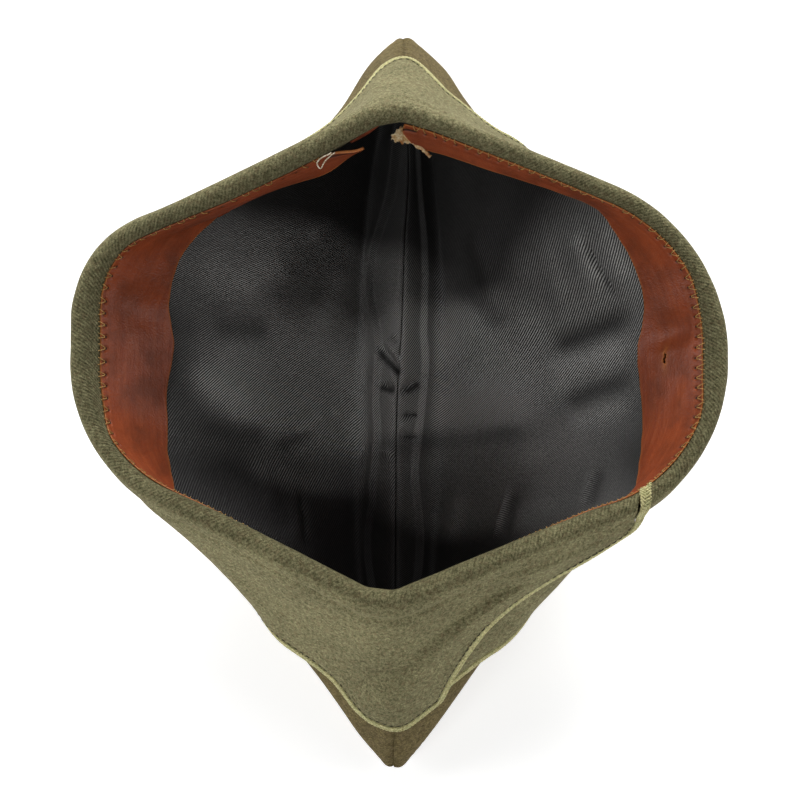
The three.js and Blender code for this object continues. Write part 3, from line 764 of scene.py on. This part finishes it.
ROLL_THIN = (  # around, millimetres
    (0, 0), (0.24, 0), (0.3, 1.25), (0.42, 1.25), (0.48, 0.1), (0.56, 0.1), (0.62, 1.2), (0.95, 1.2),
    (1, 0.4), (1.06, 0), (1.22, 0), (1.29, 1), (1.36, 1), (1.43, 0), (1.55, 0), (1.61, 1), (1.7, 1),
    (1.78, 0), (2, 0),
)
ROLL_LENGTH = math.pi * ROLL_RADIUS
EDGE_ROUND = 1.0
OVER_START = 0.0083  # how far round the piping lies from the edge on the rim
OVER_SLANT = 0.0205  # how far round the edge and the piping slant on their way over the rim
PRESSED_AT, PRESSED_WIDTH, PRESSED_IN = 6.2, 1.7, 0.7  # the pressed line below the rim
PROUD_AT, PROUD_WIDTH, PROUD_OUT = 3, 2.2, 0.3  # where the rolled edge stands proud of the wall
FAR_OFF = 99.0  # for places that are nowhere near an end


def lay_curtain(even, level):
    """level runs from -2 at the edge turned inside the rim, over the roll from -1 to 0, to 1 at the hem."""
    share = np.clip(level, 0, 1)
    around = curtain_around(even, share)
    height = curtain_height(around)
    to_hem = (1 - share) * height
    to_end = np.where(even > 2, (2 + lap_edge(share) - around) * SIDE_LENGTH, FAR_OFF)
    to_start = np.where(even < START_SETTLED, (around - lap_start(share)) * SIDE_LENGTH, FAR_OFF)
    edge = round_edge(np.minimum(np.minimum(to_hem, to_end), to_start), EDGE_ROUND) * 1.3
    near_end = np.maximum((even - 2) / (END - 2), (START_SETTLED - even) / (START_SETTLED - START))
    around = around + OVER_SLANT * np.clip(-level, 0, 1) ** 2 * np.clip(near_end, 0, 1)
    depth = share * height
    u = around * SIDE_LENGTH
    # the rolled edge stands a little proud of the wall, and a pressed line runs below it
    line_at = PRESSED_AT + 1.2 * waver(u, 0 * u, 60, 5)
    pressed = PRESSED_IN * np.exp(-((depth - line_at) / PRESSED_WIDTH) ** 2)
    pressed -= PROUD_OUT * np.exp(-((depth - PROUD_AT) / PROUD_WIDTH) ** 2)
    settled = smooth(share * 8) * smooth(to_hem / 6)
    loose = (0.35 * waver(u, depth, 34, 8) + 0.12 * waver(u, depth, 12, 9)) * settled
    band = on_curtain(around, share, CURTAIN_OUT - edge - pressed + loose)
    angle = np.clip(-level, 0, 1) * math.pi
    dent = 0.16 * waver(u, level * 12, 13, 12) * np.sin(angle)
    thin = roll_thin(around)
    roll = on_roll(around, angle, ROLL_RADIUS - thin / 2 - edge * 0.6 + dent, ROLL_MIDDLE + thin / 2)
    facing_down = down_at(around, np.clip(-1 - level, 0, 1) * FACING_DEPTH)
    facing = offset(CROWN, around, facing_down, FACING_IN + thin + edge * 0.6)
    points = np.where((level > 0)[:, None], band, np.where((level > -1)[:, None], roll, facing))
    length = np.where(level > 0, depth, np.where(level > -1, level * ROLL_LENGTH,
                                                 -ROLL_LENGTH + (level + 1) * FACING_DEPTH))
    return points, np.stack([u, length], -1)


curtain_cloth = panel(
    "curtain_cloth", edge_places(START, END, 500, 0.004, 4),
    np.concatenate([
        np.linspace(-2, -1, 5)[:-1], np.linspace(-1, 0, 19)[:-1], [0.004], np.linspace(0.02, 0.3, 22)[:-1],
        np.linspace(0.3, 0.97, 26), [0.978, 0.984, 0.99, 0.995, 1]]),
    lay_curtain, 1.3, CURTAIN_WOOL, ["curtain"])

# ---- Piping -----------------------------------------------------------------------------------

BRAID_BESIDE, BRAID_BESIDE_RIM = 1.0, 2.4  # from the cloth's edge to the piping's middle, at hem and rim
BRAID_BY = 3.9  # from the middle of the crown cloth
BRAID_STEP, BRAID_PASSES = 0.45, 6
BRAID_HALF_WIDTH, BRAID_HALF_THICK, BRAID_PITCH, BRAID_STRANDS, STRAND_RADIUS = 0.88, 0.36, 5.6, 5, 0.42
FLAT_HALF_WIDTH, FLAT_HALF_THICK, FLAT_FROM, FLAT_RUN = 1.7, 0.3, 26, 10  # where it is pressed flat


def cord_line():
    """The middle of the piping and the way out from the cap along it: round the hem from the hidden end,
    up the overlapping edge and over the rim."""
    even = np.linspace(START, END, 900)
    hem_around = curtain_around(even, np.ones_like(even))
    share = np.linspace(1, 0.05, 90)[1:]
    around = np.concatenate([hem_around, 2 + lap_edge(share)])
    share = np.concatenate([np.ones_like(even), share])
    middle = on_curtain(around, share, np.full_like(share, BRAID_BY))
    out = place(CROWN, around, share * hem_at(around))[1]
    step = np.gradient(middle, axis=0)
    beside = mix(BRAID_BESIDE_RIM, BRAID_BESIDE, smooth(share / 0.35))
    line = middle + unit(np.cross(step, out)) * beside[:, None]
    turn = np.linspace(0, 1, 24)
    over_around = 2 + lap_edge(np.zeros(1))[0] + OVER_START + OVER_SLANT * turn ** 2
    thin = roll_thin(over_around)
    over = on_roll(over_around, turn * math.pi, ROLL_RADIUS - thin / 2 + 0.1, ROLL_MIDDLE + thin / 2)
    _, facing, up = rim_axes(over_around)
    angle = (turn * math.pi)[:, None]
    line = np.vstack([line, over])
    out = np.vstack([out, facing * np.cos(angle) + up * np.sin(angle)])
    return even_steps(line, out, BRAID_STEP, BRAID_PASSES)


def even_steps(line, out, step, passes):
    """Resamples a line at even steps and softens its corners."""
    along = lengths_along(line)
    want = np.linspace(0, along[-1], int(along[-1] / step))
    both = softened(between(want, along, np.column_stack([line, out])), passes)
    return both[:, :3], unit(both[:, 3:]), want


def plait(line, out, along, half_width, half_thick, pitch, strands):
    """Strands woven over and under one another, flat against the cloth."""
    step = unit(np.gradient(line, axis=0))
    side = unit(np.cross(step, out))
    up = np.cross(side, step)
    runs = []
    for k in range(strands):
        phase = 2 * math.pi * (along / pitch + k / strands)
        runs.append(line + side * (half_width * np.sin(phase))[:, None]
                    + up * (half_thick * np.sin(2 * phase))[:, None])
    return runs


LINE, LINE_OUT, LINE_ALONG = cord_line()
to_inside = LINE_ALONG[-1] - LINE_ALONG
flat_share = smooth((FLAT_FROM - to_inside) / FLAT_RUN)  # it is pressed flat and wide over the rim
uneven = 1 + 0.1 * waver(LINE_ALONG, 0 * LINE_ALONG, 9, 21)
strand_runs = plait(
    LINE, LINE_OUT, LINE_ALONG, mix(BRAID_HALF_WIDTH, FLAT_HALF_WIDTH, flat_share) * uneven,
    mix(BRAID_HALF_THICK, FLAT_HALF_THICK, flat_share), BRAID_PITCH, BRAID_STRANDS)
tubes("piping_braid", strand_runs, STRAND_RADIUS, BRAID, ["piping"])

# ---- Topstitching -----------------------------------------------------------------------------


STITCH_IN, STITCH_LENGTH, STITCH_GAP = 1.35, 1.9, 0.7
STITCH_RISE = np.array([-0.3, 0.02, 0.1, 0.02, -0.3])


def stitch_row(path, out):
    """Dashes of thread along a path: each comes up out of the cloth and goes down again."""
    along = lengths_along(path)
    runs = []
    for start in np.arange(0, along[-1] - STITCH_LENGTH, STITCH_LENGTH + STITCH_GAP):
        want = np.linspace(start, start + STITCH_LENGTH, len(STITCH_RISE))
        runs.append(between(want, along, path) + between(want, along, out) * STITCH_RISE[:, None])
    return runs


def topstitching():
    """A row up the overlap's edge and a row round the hem."""
    share = np.linspace(0.99, 0.015, 240)
    around = 2 + lap_edge(share) - STITCH_IN / SIDE_LENGTH
    up_edge = on_curtain(around, share, np.full_like(share, CURTAIN_OUT + 0.05))
    runs = stitch_row(up_edge, place(CROWN, around, share * hem_at(around))[1])
    even = np.linspace(START_SETTLED, END, 1500)
    one = np.ones_like(even)
    around = curtain_around(even, one)
    height = curtain_height(around)
    share = 1 - STITCH_IN / height
    hem = on_curtain(around, share, np.full_like(share, CURTAIN_OUT + 0.02))
    runs += stitch_row(hem, place(CROWN, around, share * hem_at(around))[1])
    tubes("curtain_topstitching", runs, 0.17, DARK_THREAD, sides=0)


topstitching()

# ---- Lining -----------------------------------------------------------------------------------

PLEAT_AT = {  # y, how far the folded edge of each side lies from the middle
    1: ((-125, 2), (-100, 4), (-58, 9.5), (-45, 8.4), (-31.5, 6.9), (-10.7, 9.1), (10.5, 10.4), (24, 9.5),
        (46, 10), (80, 6), (125, 2)),
    -1: ((-125, 2), (-100, 4), (-58.5, 12), (-38, 9.6), (-18, 8.4), (-3.7, 9.4), (17, 8.4), (38, 12.5),
         (53, 12), (80, 6), (125, 2)),
}
PLEAT_STEP, PLEAT_RISE, PLEAT_LIP = 1.8, 1.0, 0.8
SEAM_WANDER = ((-125, 0), (-34, -0.7), (-4, -0.7), (26, 0.7), (57, 1.4), (87, 2.5), (125, 0))
LINING_CREASES = (  # in plan: two ends, half width, how far it stands up
    (64.7, 47.5, 77.6, 25.4, 0.8, -1.3), (60, 52, 72, 30, 2.4, 0.8), (70, 52, 81, 30, 2.2, 0.7),
    (52, 50, 60, 26, 3, 0.6), (54, 13, 84, 21, 4.5, -1.3), (52, 4, 82, 9, 4.5, 0.8),
    (58, -7, 84, 0, 3.6, -1.1), (60, -15, 84, -9, 4, 0.7), (40.5, -37, 35, -58.4, 1, 1.1),
    (43.5, -38, 38, -58, 1.8, -0.9), (69.1, -32.7, 63.6, -48.8, 1.1, 0.9),
    (72, -33, 66.5, -49, 1.8, -0.8), (24, -38, 18, -64, 3, 0.8), (30, 5, 56, -30, 9, 0.9),
    (22, 44, 40, 20, 5, -0.8), (26, 60, 36, 30, 3, 0.7), (-35.5, -39, -32.3, -60.4, 0.9, -1.2),
    (-39, -39, -36, -60, 2.2, 0.9), (-37.9, -18.2, -26, -9, 1.5, 1.0), (-26, -9, -14.3, -6.7, 1.5, 0.9),
    (-46, -25, -30, -15, 3, -0.8), (-60, 30, -40, 44, 4, 0.8), (-70, 16, -45, 20, 5, -0.8),
    (-76, 0, -50, -6, 5, 0.9), (-72, -18, -45, -20, 5, -0.9), (-30, 20, -20, 50, 4, 0.7),
    (-34, 52, -24, 66, 2.4, 0.7), (-52, -28, -44, -48, 3, 0.8), (-9, 17, 1.4, 4.5, 1.7, -1.7),
    (-7, 19, 2, 8, 1.5, 1.0), (-4, 21, -1, 17, 2, -0.9), (1.5, -1.6, 8.2, 4, 1.4, -1.7),
    (1, -9.6, 8, -8.6, 1.2, -1.5), (1, -13, 8, -12.4, 1.6, 0.9), (1, -17.6, 8, -17, 1.1, -1.4),
    (-8, -22, -1, -25, 1.6, 1.1), (-8, 2, -1, -1, 1.6, -1.4),
)
STRIP_FROM = 1.5  # the level of the pleat's folded edge
PAINTED_LIGHT_POOLS = (  # in plan: the middle, half length and half width of each pool of painted light, and how much
    (-31, 2, 38, 25, 1), (22, 10, 36, 24, 0.9), (2, 6, 14, 24, 0.7), (64, 16, 26, 44, 0.48),
    (58, -42, 22, 20, 0.15), (-66, 36, 22, 20, 0.2), (-30, 40, 44, 18, 0.4), (-70, -6, 22, 24, 0.15),
    (26, -36, 34, 18, 0.35), (-28, -28, 26, 12, 0.3),
)
# the strongest painted light, and how much painted highlight and painted shade the creases' ridges and hollows
# get
PAINTED_LIGHT_MOST, CREASE_LIGHT_AND_SHADE, CREASE_GROWTH = 0.75, 0.75, 1.4


def lining_places(around, down, by):
    """Close against the crown behind the sweatband, and leaving it gradually further down."""
    close = offset(CROWN, around, down, by - LINING_IN)
    loose = offset(LINED, around, down, by - LINING_IN * np.maximum(0, 1 - down))
    return mix(close, loose, smooth((down - 0.3) / 0.4)[:, None])


def painted_light_at(points):
    """How much painted light the lining gets, from 0 to 1: more on the ridges of its creases as a painted
    highlight, less in their hollows as painted shade.
    """
    left = np.ones(len(points))
    for x, y, half_x, half_y, much in PAINTED_LIGHT_POOLS:
        far = np.hypot((points[:, 0] - x) / half_x, (points[:, 1] - y) / half_y)
        left *= 1 - much * (1 - smooth((far - 0.7) / 0.6))
    crease = strokes(points[:, 0], points[:, 1], LINING_CREASES)
    return np.clip(PAINTED_LIGHT_MOST * (1 - left) * (1 + CREASE_LIGHT_AND_SHADE * crease), 0, 1)


def pleat_down(around, side):
    """How far down the folded edge of the pleat lies, for each column."""
    column, back = np.unique(around, return_inverse=True)
    down = np.linspace(1, 2, 41)
    spots = place(LINED, column[:, None], down[None, :])[0]
    fold = follow(PLEAT_AT[side], spots[..., 1]) - np.abs(spots[..., 0])
    return np.clip(down[np.argmax(fold > 0, axis=1)], 1.06, 1.85)[back.ravel()]


def lining_side(side):
    def lay(along, level):
        around = along if side > 0 else 2 - along
        pleat = pleat_down(around, side)
        inner = np.where(level < STRIP_FROM, mix(1, pleat, (level - 1) / (STRIP_FROM - 1)),
                         mix(pleat, 2, (level - STRIP_FROM) / (2 - STRIP_FROM)))
        down = np.where(level < 1, level, inner)
        down = np.maximum(down, down_at(around, np.full_like(around, LINING_TOP)))
        p = lining_places(around, down, np.full_like(down, -LINING_THICK / 2))
        out = place(LINED, around, down)[1]
        off_pleat = follow(PLEAT_AT[side], p[:, 1]) - side * p[:, 0]
        in_strip = smooth(off_pleat / PLEAT_LIP) * (level >= 1)
        rise = CREASE_GROWTH * strokes(p[:, 0], p[:, 1], LINING_CREASES)
        u, v = around * SIDE_LENGTH, length_down(LINED, around, down)
        low = smooth((level - 0.25) / 0.3)
        rise += (0.8 * waver(p[:, 0], p[:, 1], 42, 31) + 0.22 * waver(p[:, 0], p[:, 1], 15, 33)) * low
        rise += PLEAT_RISE * np.exp(-(off_pleat / 2.2) ** 2) * (level >= 1) * (1 - in_strip)
        rise -= PLEAT_STEP * in_strip * (1 - smooth((6 - np.abs(p[:, 0])) / 9) * 0.4)
        rise -= 1.2 * np.exp(-(np.abs(p[:, 0]) / 1.1)) * (level > STRIP_FROM)
        settle = smooth((level - 0.25) / 0.08)
        v = v + (PLEAT_STEP + PLEAT_RISE) * in_strip
        p -= out * (rise * settle)[:, None]
        meet_at_seam(p, side, (along <= 0) | (along >= 1) | (down >= 2))
        p[:, 0] += follow(SEAM_WANDER, p[:, 1]) * np.exp(-(p[:, 0] / 7) ** 2)
        p[:, 2] = np.maximum(p[:, 2], CROWN_THICK + 0.4 + LINING_THICK)
        return p, np.stack([u, v], -1)

    hand = "right" if side > 0 else "left"
    across = edge_places(0, 1, 296, 0.01, 3)
    levels = np.concatenate([
        np.linspace(0.07, 0.3, 14)[:-1], np.linspace(0.3, 1, 84)[:-1], np.linspace(1, 1.46, 16)[:-1],
        np.linspace(1.46, 1.56, 12)[:-1], np.linspace(1.56, 2, 18)])
    # its face looks into the hollow, so the right side is laid from the back
    turn = (lambda a: 1 - a) if side > 0 else (lambda a: a)
    # the attribute given to the lining below holds painted light and painted shade, not wear
    return panel("lining_side_" + hand, across, levels, lambda a, b: lay(turn(a), b), 0.7, LINING_TWILL,
                 ["lining_" + hand], wear_and_painted_light=lambda a, b: painted_light_at(lay(turn(a), b)[0]))


lining_sides = [lining_side(1), lining_side(-1)]

# ---- Sweatband --------------------------------------------------------------------------------

TIP_FROM, TIP_TO = -0.937, -0.893  # its pointed end has come away from the wall
TIP_LIFT_OFF, END_LIFT_OFF, END_FROM = 4.5, 2.6, 0.93
HANG_FULL = 14  # a band this wide hangs away from the back wall as far as it can
BAND_START, BAND_END = BAND_LEAN[0][0], 0.996
SKIN_THICK, EDGE_THICK = 0.9, 0.5
SKIN_WIDTH = (  # around, millimetres
    (TIP_FROM, 2), (-0.92, 6.5), (-0.9, 10.5), (-0.87, 13), (-0.82, 13.5), (-0.785, 16), (-0.75, 24),
    (-0.72, 31), (-0.69, 30), (-0.66, 26.5), (-0.63, 24.5), (-0.6, 26), (-0.54, 32.5), (-0.51, 33),
    (-0.45, 29.5), (-0.39, 28), (-0.36, 26), (-0.33, 22), (-0.3, 13), (-0.26, 11), (0, 12), (0.2, 9),
    (0.29, 8), (0.32, 11), (0.35, 18), (0.38, 23), (0.44, 29.5), (0.5, 32), (0.53, 31), (0.56, 27),
    (0.62, 22.5), (0.68, 19), (0.71, 16), (0.74, 11.5), (0.77, 9), (0.9, 9), (0.94, 10), (0.975, 9.5),
    (BAND_END, 3),
)
SKIN_SWELL = (  # around, how far it bulges half way down
    (TIP_FROM, 0), (-0.66, 0.2), (-0.6, 0.4), (-0.562, -0.9), (-0.525, 1.2), (-0.47, 1.6), (-0.42, 0.3),
    (-0.2, 0), (0.4, 0), (0.47, 0.9), (0.515, 1.1), (0.54, -1.2), (0.575, 0.9), (0.63, 0),
    (BAND_END, 0),
)
EDGE_DEPTH = (  # around, how far below the middle of the rim's roll its stitched edge lies
    (TIP_FROM, 0), (-0.87, 0.2), (-0.8, -0.5), (-0.75, -0.8), (-0.67, -0.8), (-0.6, 2.5), (-0.54, 4.2),
    (-0.46, 4.4), (-0.42, 3), (-0.38, -0.5), (-0.3, -0.8), (-0.2, 2), (-0.1, 4), (0.1, 3), (0.2, 1),
    (0.3, -0.8), (0.42, -0.8), (0.48, 2.1), (0.54, 1.8), (0.6, -0.7), (0.7, -0.8), (BAND_END, -0.8),
)
SLIT_AT, SLIT_DOWN, SLIT_LONG, SLIT_WIDE = 0.509, 17.6, 2.0, 0.6
PITCH_LEFT, PITCH_RIGHT = 4.5, 3.7
draw = np.random.RandomState(11)


def stitch_places():
    """Where the thread goes through the band, as around; the pitch is a little uneven."""
    at, places = TIP_TO - 0.005, []
    while at < BAND_END - 0.01:
        places.append(at)
        pitch = PITCH_LEFT if at < 0 else PITCH_RIGHT
        at += pitch * draw.uniform(0.86, 1.14) / SIDE_LENGTH
    return np.array(places)


STITCHES_AT = stitch_places()
STITCH_REACH = ((TIP_FROM, 2.1), (0, 2.1), (0.3, 2.4), (0.5, 2.9), (0.7, 2.2), (BAND_END, 2))


def skin_width(around):
    return follow(SKIN_WIDTH, around)


def on_band(around, share, lift=0.0):
    """Places on the sweatband; share is 0 at its stitched edge and 1 at its free edge."""
    u = around * SIDE_LENGTH
    top = follow(EDGE_DEPTH, around) + 0.22 * waver(u, 0 * u, 7, 41)
    width = skin_width(around)
    down = width * share
    depth = top + down
    lean = follow(BAND_LEAN, np.clip(around, BAND_START, BAND_END)) * share ** 2
    clear = mix(SKIN_THICK * 0.6, 1.0, smooth(down / 6))
    by = FACING_IN + roll_thin(around) * (1 - smooth(down / 12)) - clear - lift
    swell = follow(SKIN_SWELL, around) * np.sin(math.pi * np.clip(share, 0, 1)) ** 0.8
    ripple = 0.12 * waver(u, down, 11, 43) * smooth(down / 4)
    swell += ripple + 0.3 * waver(u, down * 0.5, 38, 44) * smooth(down / 8)
    tip = smooth((TIP_TO - around) / (TIP_TO - TIP_FROM))
    end = smooth((around - END_FROM) / (BAND_END - END_FROM))
    by = by - lean - swell - TIP_LIFT_OFF * tip - END_LIFT_OFF * end * share
    p = offset(CROWN, around, down_at(around, depth), by)
    p[:, 2] += 1.2 * tip
    hang = BAND_HANG * smooth((p[:, 1] - HANG_FROM) / (HANG_TO - HANG_FROM)) * smooth(width / HANG_FULL)
    p[:, 1] -= hang * share * (1 - tip)
    return p


def laid_from_back(along):
    return TIP_FROM + BAND_END - along  # so that its face looks into the hollow


def lay_band(along, share):
    around = laid_from_back(along)
    return on_band(around, share), np.stack([around * SIDE_LENGTH, skin_width(around) * share], -1)


def slit_distance(around, share):
    """1 at the edge of the slit, less inside it."""
    along = (around - SLIT_AT) * SIDE_LENGTH
    down = skin_width(around) * share - SLIT_DOWN + 0.3 * np.sin(along * 2.2)
    return np.hypot(along / SLIT_LONG, down / SLIT_WIDE)


def band_wear(along, share):
    around = laid_from_back(along)
    width = skin_width(around)
    ends = np.minimum(around - TIP_FROM, BAND_END - around) * SIDE_LENGTH
    free = 0.9 * np.exp(-(np.minimum((1 - share) * width, ends) / 0.3) ** 2)
    tucked = smooth((around - TIP_TO) / 0.02) * smooth((-0.58 - around) / 0.06)
    free = np.maximum(free, 0.9 * (1 - 0.8 * tucked) * np.exp(-(share * width / 0.3) ** 2))
    return np.maximum(free, np.exp(-np.maximum(slit_distance(around, share) - 1, 0) * 1.1) * 0.9)


def band_stitches(along, share):
    around = laid_from_back(along)
    reach = follow(STITCH_REACH, around)
    return np.stack([np.interp(around, STITCHES_AT, np.arange(len(STITCHES_AT)) + 0.5),
                     skin_width(around) * share - reach], -1)


def band_skive(along, share):
    around = laid_from_back(along)
    thin = smooth(skin_width(around) * share / 2.5)
    return np.maximum(mix(EDGE_THICK / SKIN_THICK, 1, thin), smooth((TIP_TO - around) / 0.02))


def with_slit(low, high, centre, half, count, fine):
    """Places from low to high, with fine ones for the slit round a centre."""
    inside = np.linspace(centre - half, centre + half, fine)
    share = (centre - half - low) / (high - low - 2 * half)
    before = max(int(count * share), 2)
    return np.concatenate([edge_places(low, centre - half, before)[:-1], inside,
                           edge_places(centre + half, high, count - before)[1:]])


SLIT_WIDTH_HERE = 32  # of the band at the slit
slit_along, slit_share = TIP_FROM + BAND_END - SLIT_AT, SLIT_DOWN / SLIT_WIDTH_HERE
band_columns = with_slit(TIP_FROM, BAND_END, slit_along, 3.4 / SIDE_LENGTH, 560, 22)
slit_rows = with_slit(0.055, 0.985, slit_share, 1.6 / SLIT_WIDTH_HERE, 30, 14)
band_rows = np.concatenate([[0, 0.012, 0.03], slit_rows, [1]])
sweatband_skin = panel(
    "sweatband_skin", band_columns, band_rows, lay_band, SKIN_THICK, LEATHER, ["sweatband"],
    wear_and_painted_light=band_wear, stitches=band_stitches, skive=band_skive,
    gone=lambda a, b: slit_distance(laid_from_back(a), b) < 1)


MISSING_STITCHES = (3, 4, 9)
WHIP_LIFT = np.array([-0.35, 0.12, 0.2, 0.24, 0.3, -0.3])


def whip_stitches():
    """Each stitch goes over the band's edge into the facing on both sides of its hole."""
    runs = []
    for k, at in enumerate(STITCHES_AT):
        if k in MISSING_STITCHES or at < TIP_TO + 0.03 and draw.rand() < 0.6:
            continue  # broken and gone
        reach = follow(STITCH_REACH, np.array([at]))[0]
        width = skin_width(np.array([at]))[0]
        slant = draw.uniform(0.75, 1.25)
        legs = (-1, 1) if draw.rand() < 0.75 or abs(at) < 0.6 else (1,)
        for leg in legs:
            foot = at + leg * slant * 1.1 / SIDE_LENGTH
            t = np.linspace(0, 1, len(WHIP_LIFT))
            around = mix(at, foot, t)
            share = mix(reach, -0.9, t) / width
            runs.append(on_band(around, share, lift=WHIP_LIFT))
    tubes("sweatband_stitching", runs, 0.16, TAN_THREAD, sides=0)


whip_stitches()


def strip(name, spine, width, tilt, material, thickness, seed, ragged=0.5, rows=9):
    """A torn strip along a spine of points: width is a list along it, tilt the way across it."""
    spine, tilt = np.array(spine, float), np.array(tilt, float)

    def lay(along, across):
        t = along * (len(spine) - 1)
        at = np.arange(len(spine))
        p = between(t, at, spine)
        way = unit(between(t, at, tilt))
        wide = np.interp(t, at, width) * (1 + ragged * 0.3 * waver(along * 30, across * 3, 4, seed))
        edge = np.abs(across - 0.5) * 2
        p = p + way * ((across - 0.5) * wide)[:, None]
        p[:, 2] += 0.5 * ragged * waver(along * 30, across * 6, 5, seed + 1) * edge
        return p, np.stack([along * 20, across * 4], -1)

    return panel(name, np.linspace(0, 1, 36), np.linspace(0, 1, rows), lay, thickness, material)


# what is left of the band's other end, torn at the back seam
strip(
    "torn_end_patch",
    [(-3.6, 76.4, 87), (-2, 77.2, 87.4), (-0.3, 77.4, 87), (1.3, 77, 86.6), (2.4, 76.4, 86)],
    (1.5, 4.2, 5.6, 5, 2.4), [(0.3, 1, 0.25), (0.2, 1, 0.3), (0, 1, 0.3), (-0.2, 1, 0.3), (-0.3, 1, 0.3)],
    SUEDE, 0.7, 51, 0.9, 12)
strip(
    "torn_end_strip",
    [(1.9, 76.8, 87), (3.6, 75.4, 86.4), (5.7, 73.9, 85.6), (7.8, 72.4, 84.8), (9.9, 70.8, 84)],
    (1.2, 1.7, 1.5, 1.6, 0.6), [(0.4, 0.5, 0.7)] * 5, SUEDE, 0.7, 57, 0.7)
STUB_AT = np.linspace(-0.966, -0.926, 5)
STUB_DEPTH = 3.4
stub = offset(CROWN, STUB_AT, down_at(STUB_AT, STUB_DEPTH), FACING_IN + roll_thin(STUB_AT) - 0.35)
strip("band_stub", stub, (0.5, 1.3, 1.7, 1.4, 0.5), [(0.1, -0.2, -1)] * 5, LEATHER, 0.5, 63, 0.4)
loop = np.array([
    (-22.8, 68, 96.5), (-23.8, 67.4, 96.6), (-24.6, 66.6, 96.4), (-25.9, 65.7, 95.5), (-26.7, 64.6, 94.8),
    (-27.2, 63.5, 94.4), (-27.7, 63, 94.2), (-28.4, 63.5, 94.6), (-28.9, 64.7, 95.4), (-27.9, 65.9, 96.2),
    (-26.2, 66.8, 96.8), (-24.8, 67.3, 97), (-24.1, 68, 96.8)])
loop = softened(between(np.linspace(0, len(loop) - 1, 70), np.arange(len(loop)), loop), 4)
tubes("loose_thread", [loop], 0.24, LOOSE_THREAD)

# ---- Floor and light --------------------------------------------------------------------------


FLOOR_GLOW, WORLD_GLOW, LIGHT_DISTANCE = 0.5, 0.02, 1.4
SOFTBOXES = (  # name, azimuth and elevation in degrees, size in metres, power in watts
    ("back_softbox", 4, 20, 0.5, 18),
    ("back_low_softbox", 0, 7, 0.8, 7),
    ("left_softbox", 272, 14, 0.5, 7.4),
    ("right_softbox", 86, 15, 0.5, 5.4),
    ("front_softbox", 182, 12, 0.5, 5.5),
    ("front_high_softbox", 180, 60, 0.5, 3.4),
    ("front_left_softbox", 228, 38, 0.5, 2.2),
    ("back_high_softbox", 350, 60, 0.25, 2.2),
)


def add_floor():
    bm = bmesh.new()
    bmesh.ops.create_grid(bm, x_segments=2, y_segments=2, size=3)
    mesh = bpy.data.meshes.new("floor")
    bm.to_mesh(mesh)
    bm.free()
    mesh.materials.append(light_table("opal_acrylic_table", FLOOR_GLOW))
    floor = bpy.data.objects.new("floor", mesh)
    bpy.context.scene.collection.objects.link(floor)


def add_light(name, azimuth, elevation, size, power):
    """A round softbox that looks at the cap; azimuth 0 is at its back and 90 on the wearer's right."""
    a, e = math.radians(azimuth), math.radians(elevation)
    where = Vector((math.sin(a) * math.cos(e), math.cos(a) * math.cos(e), math.sin(e))) * LIGHT_DISTANCE
    data = bpy.data.lights.new(name, "AREA")
    data.shape, data.size, data.energy = "DISK", size, power
    light = bpy.data.objects.new(name, data)
    light.location = where + Vector((0, 0, 0.05))
    light.rotation_mode = "QUATERNION"
    light.rotation_quaternion = (-where).to_track_quat("-Z", "Y")
    bpy.context.scene.collection.objects.link(light)


def add_world(strength):
    world = bpy.data.worlds.new("studio")
    world.use_nodes = True
    background = world.node_tree.nodes["Background"]
    background.inputs["Color"].default_value = (1, 1, 1, 1)
    background.inputs["Strength"].default_value = strength
    bpy.context.scene.world = world


add_floor()
for softbox in SOFTBOXES:
    add_light(*softbox)
add_world(WORLD_GLOW)
bpy.context.scene.view_settings.view_transform = "Standard"
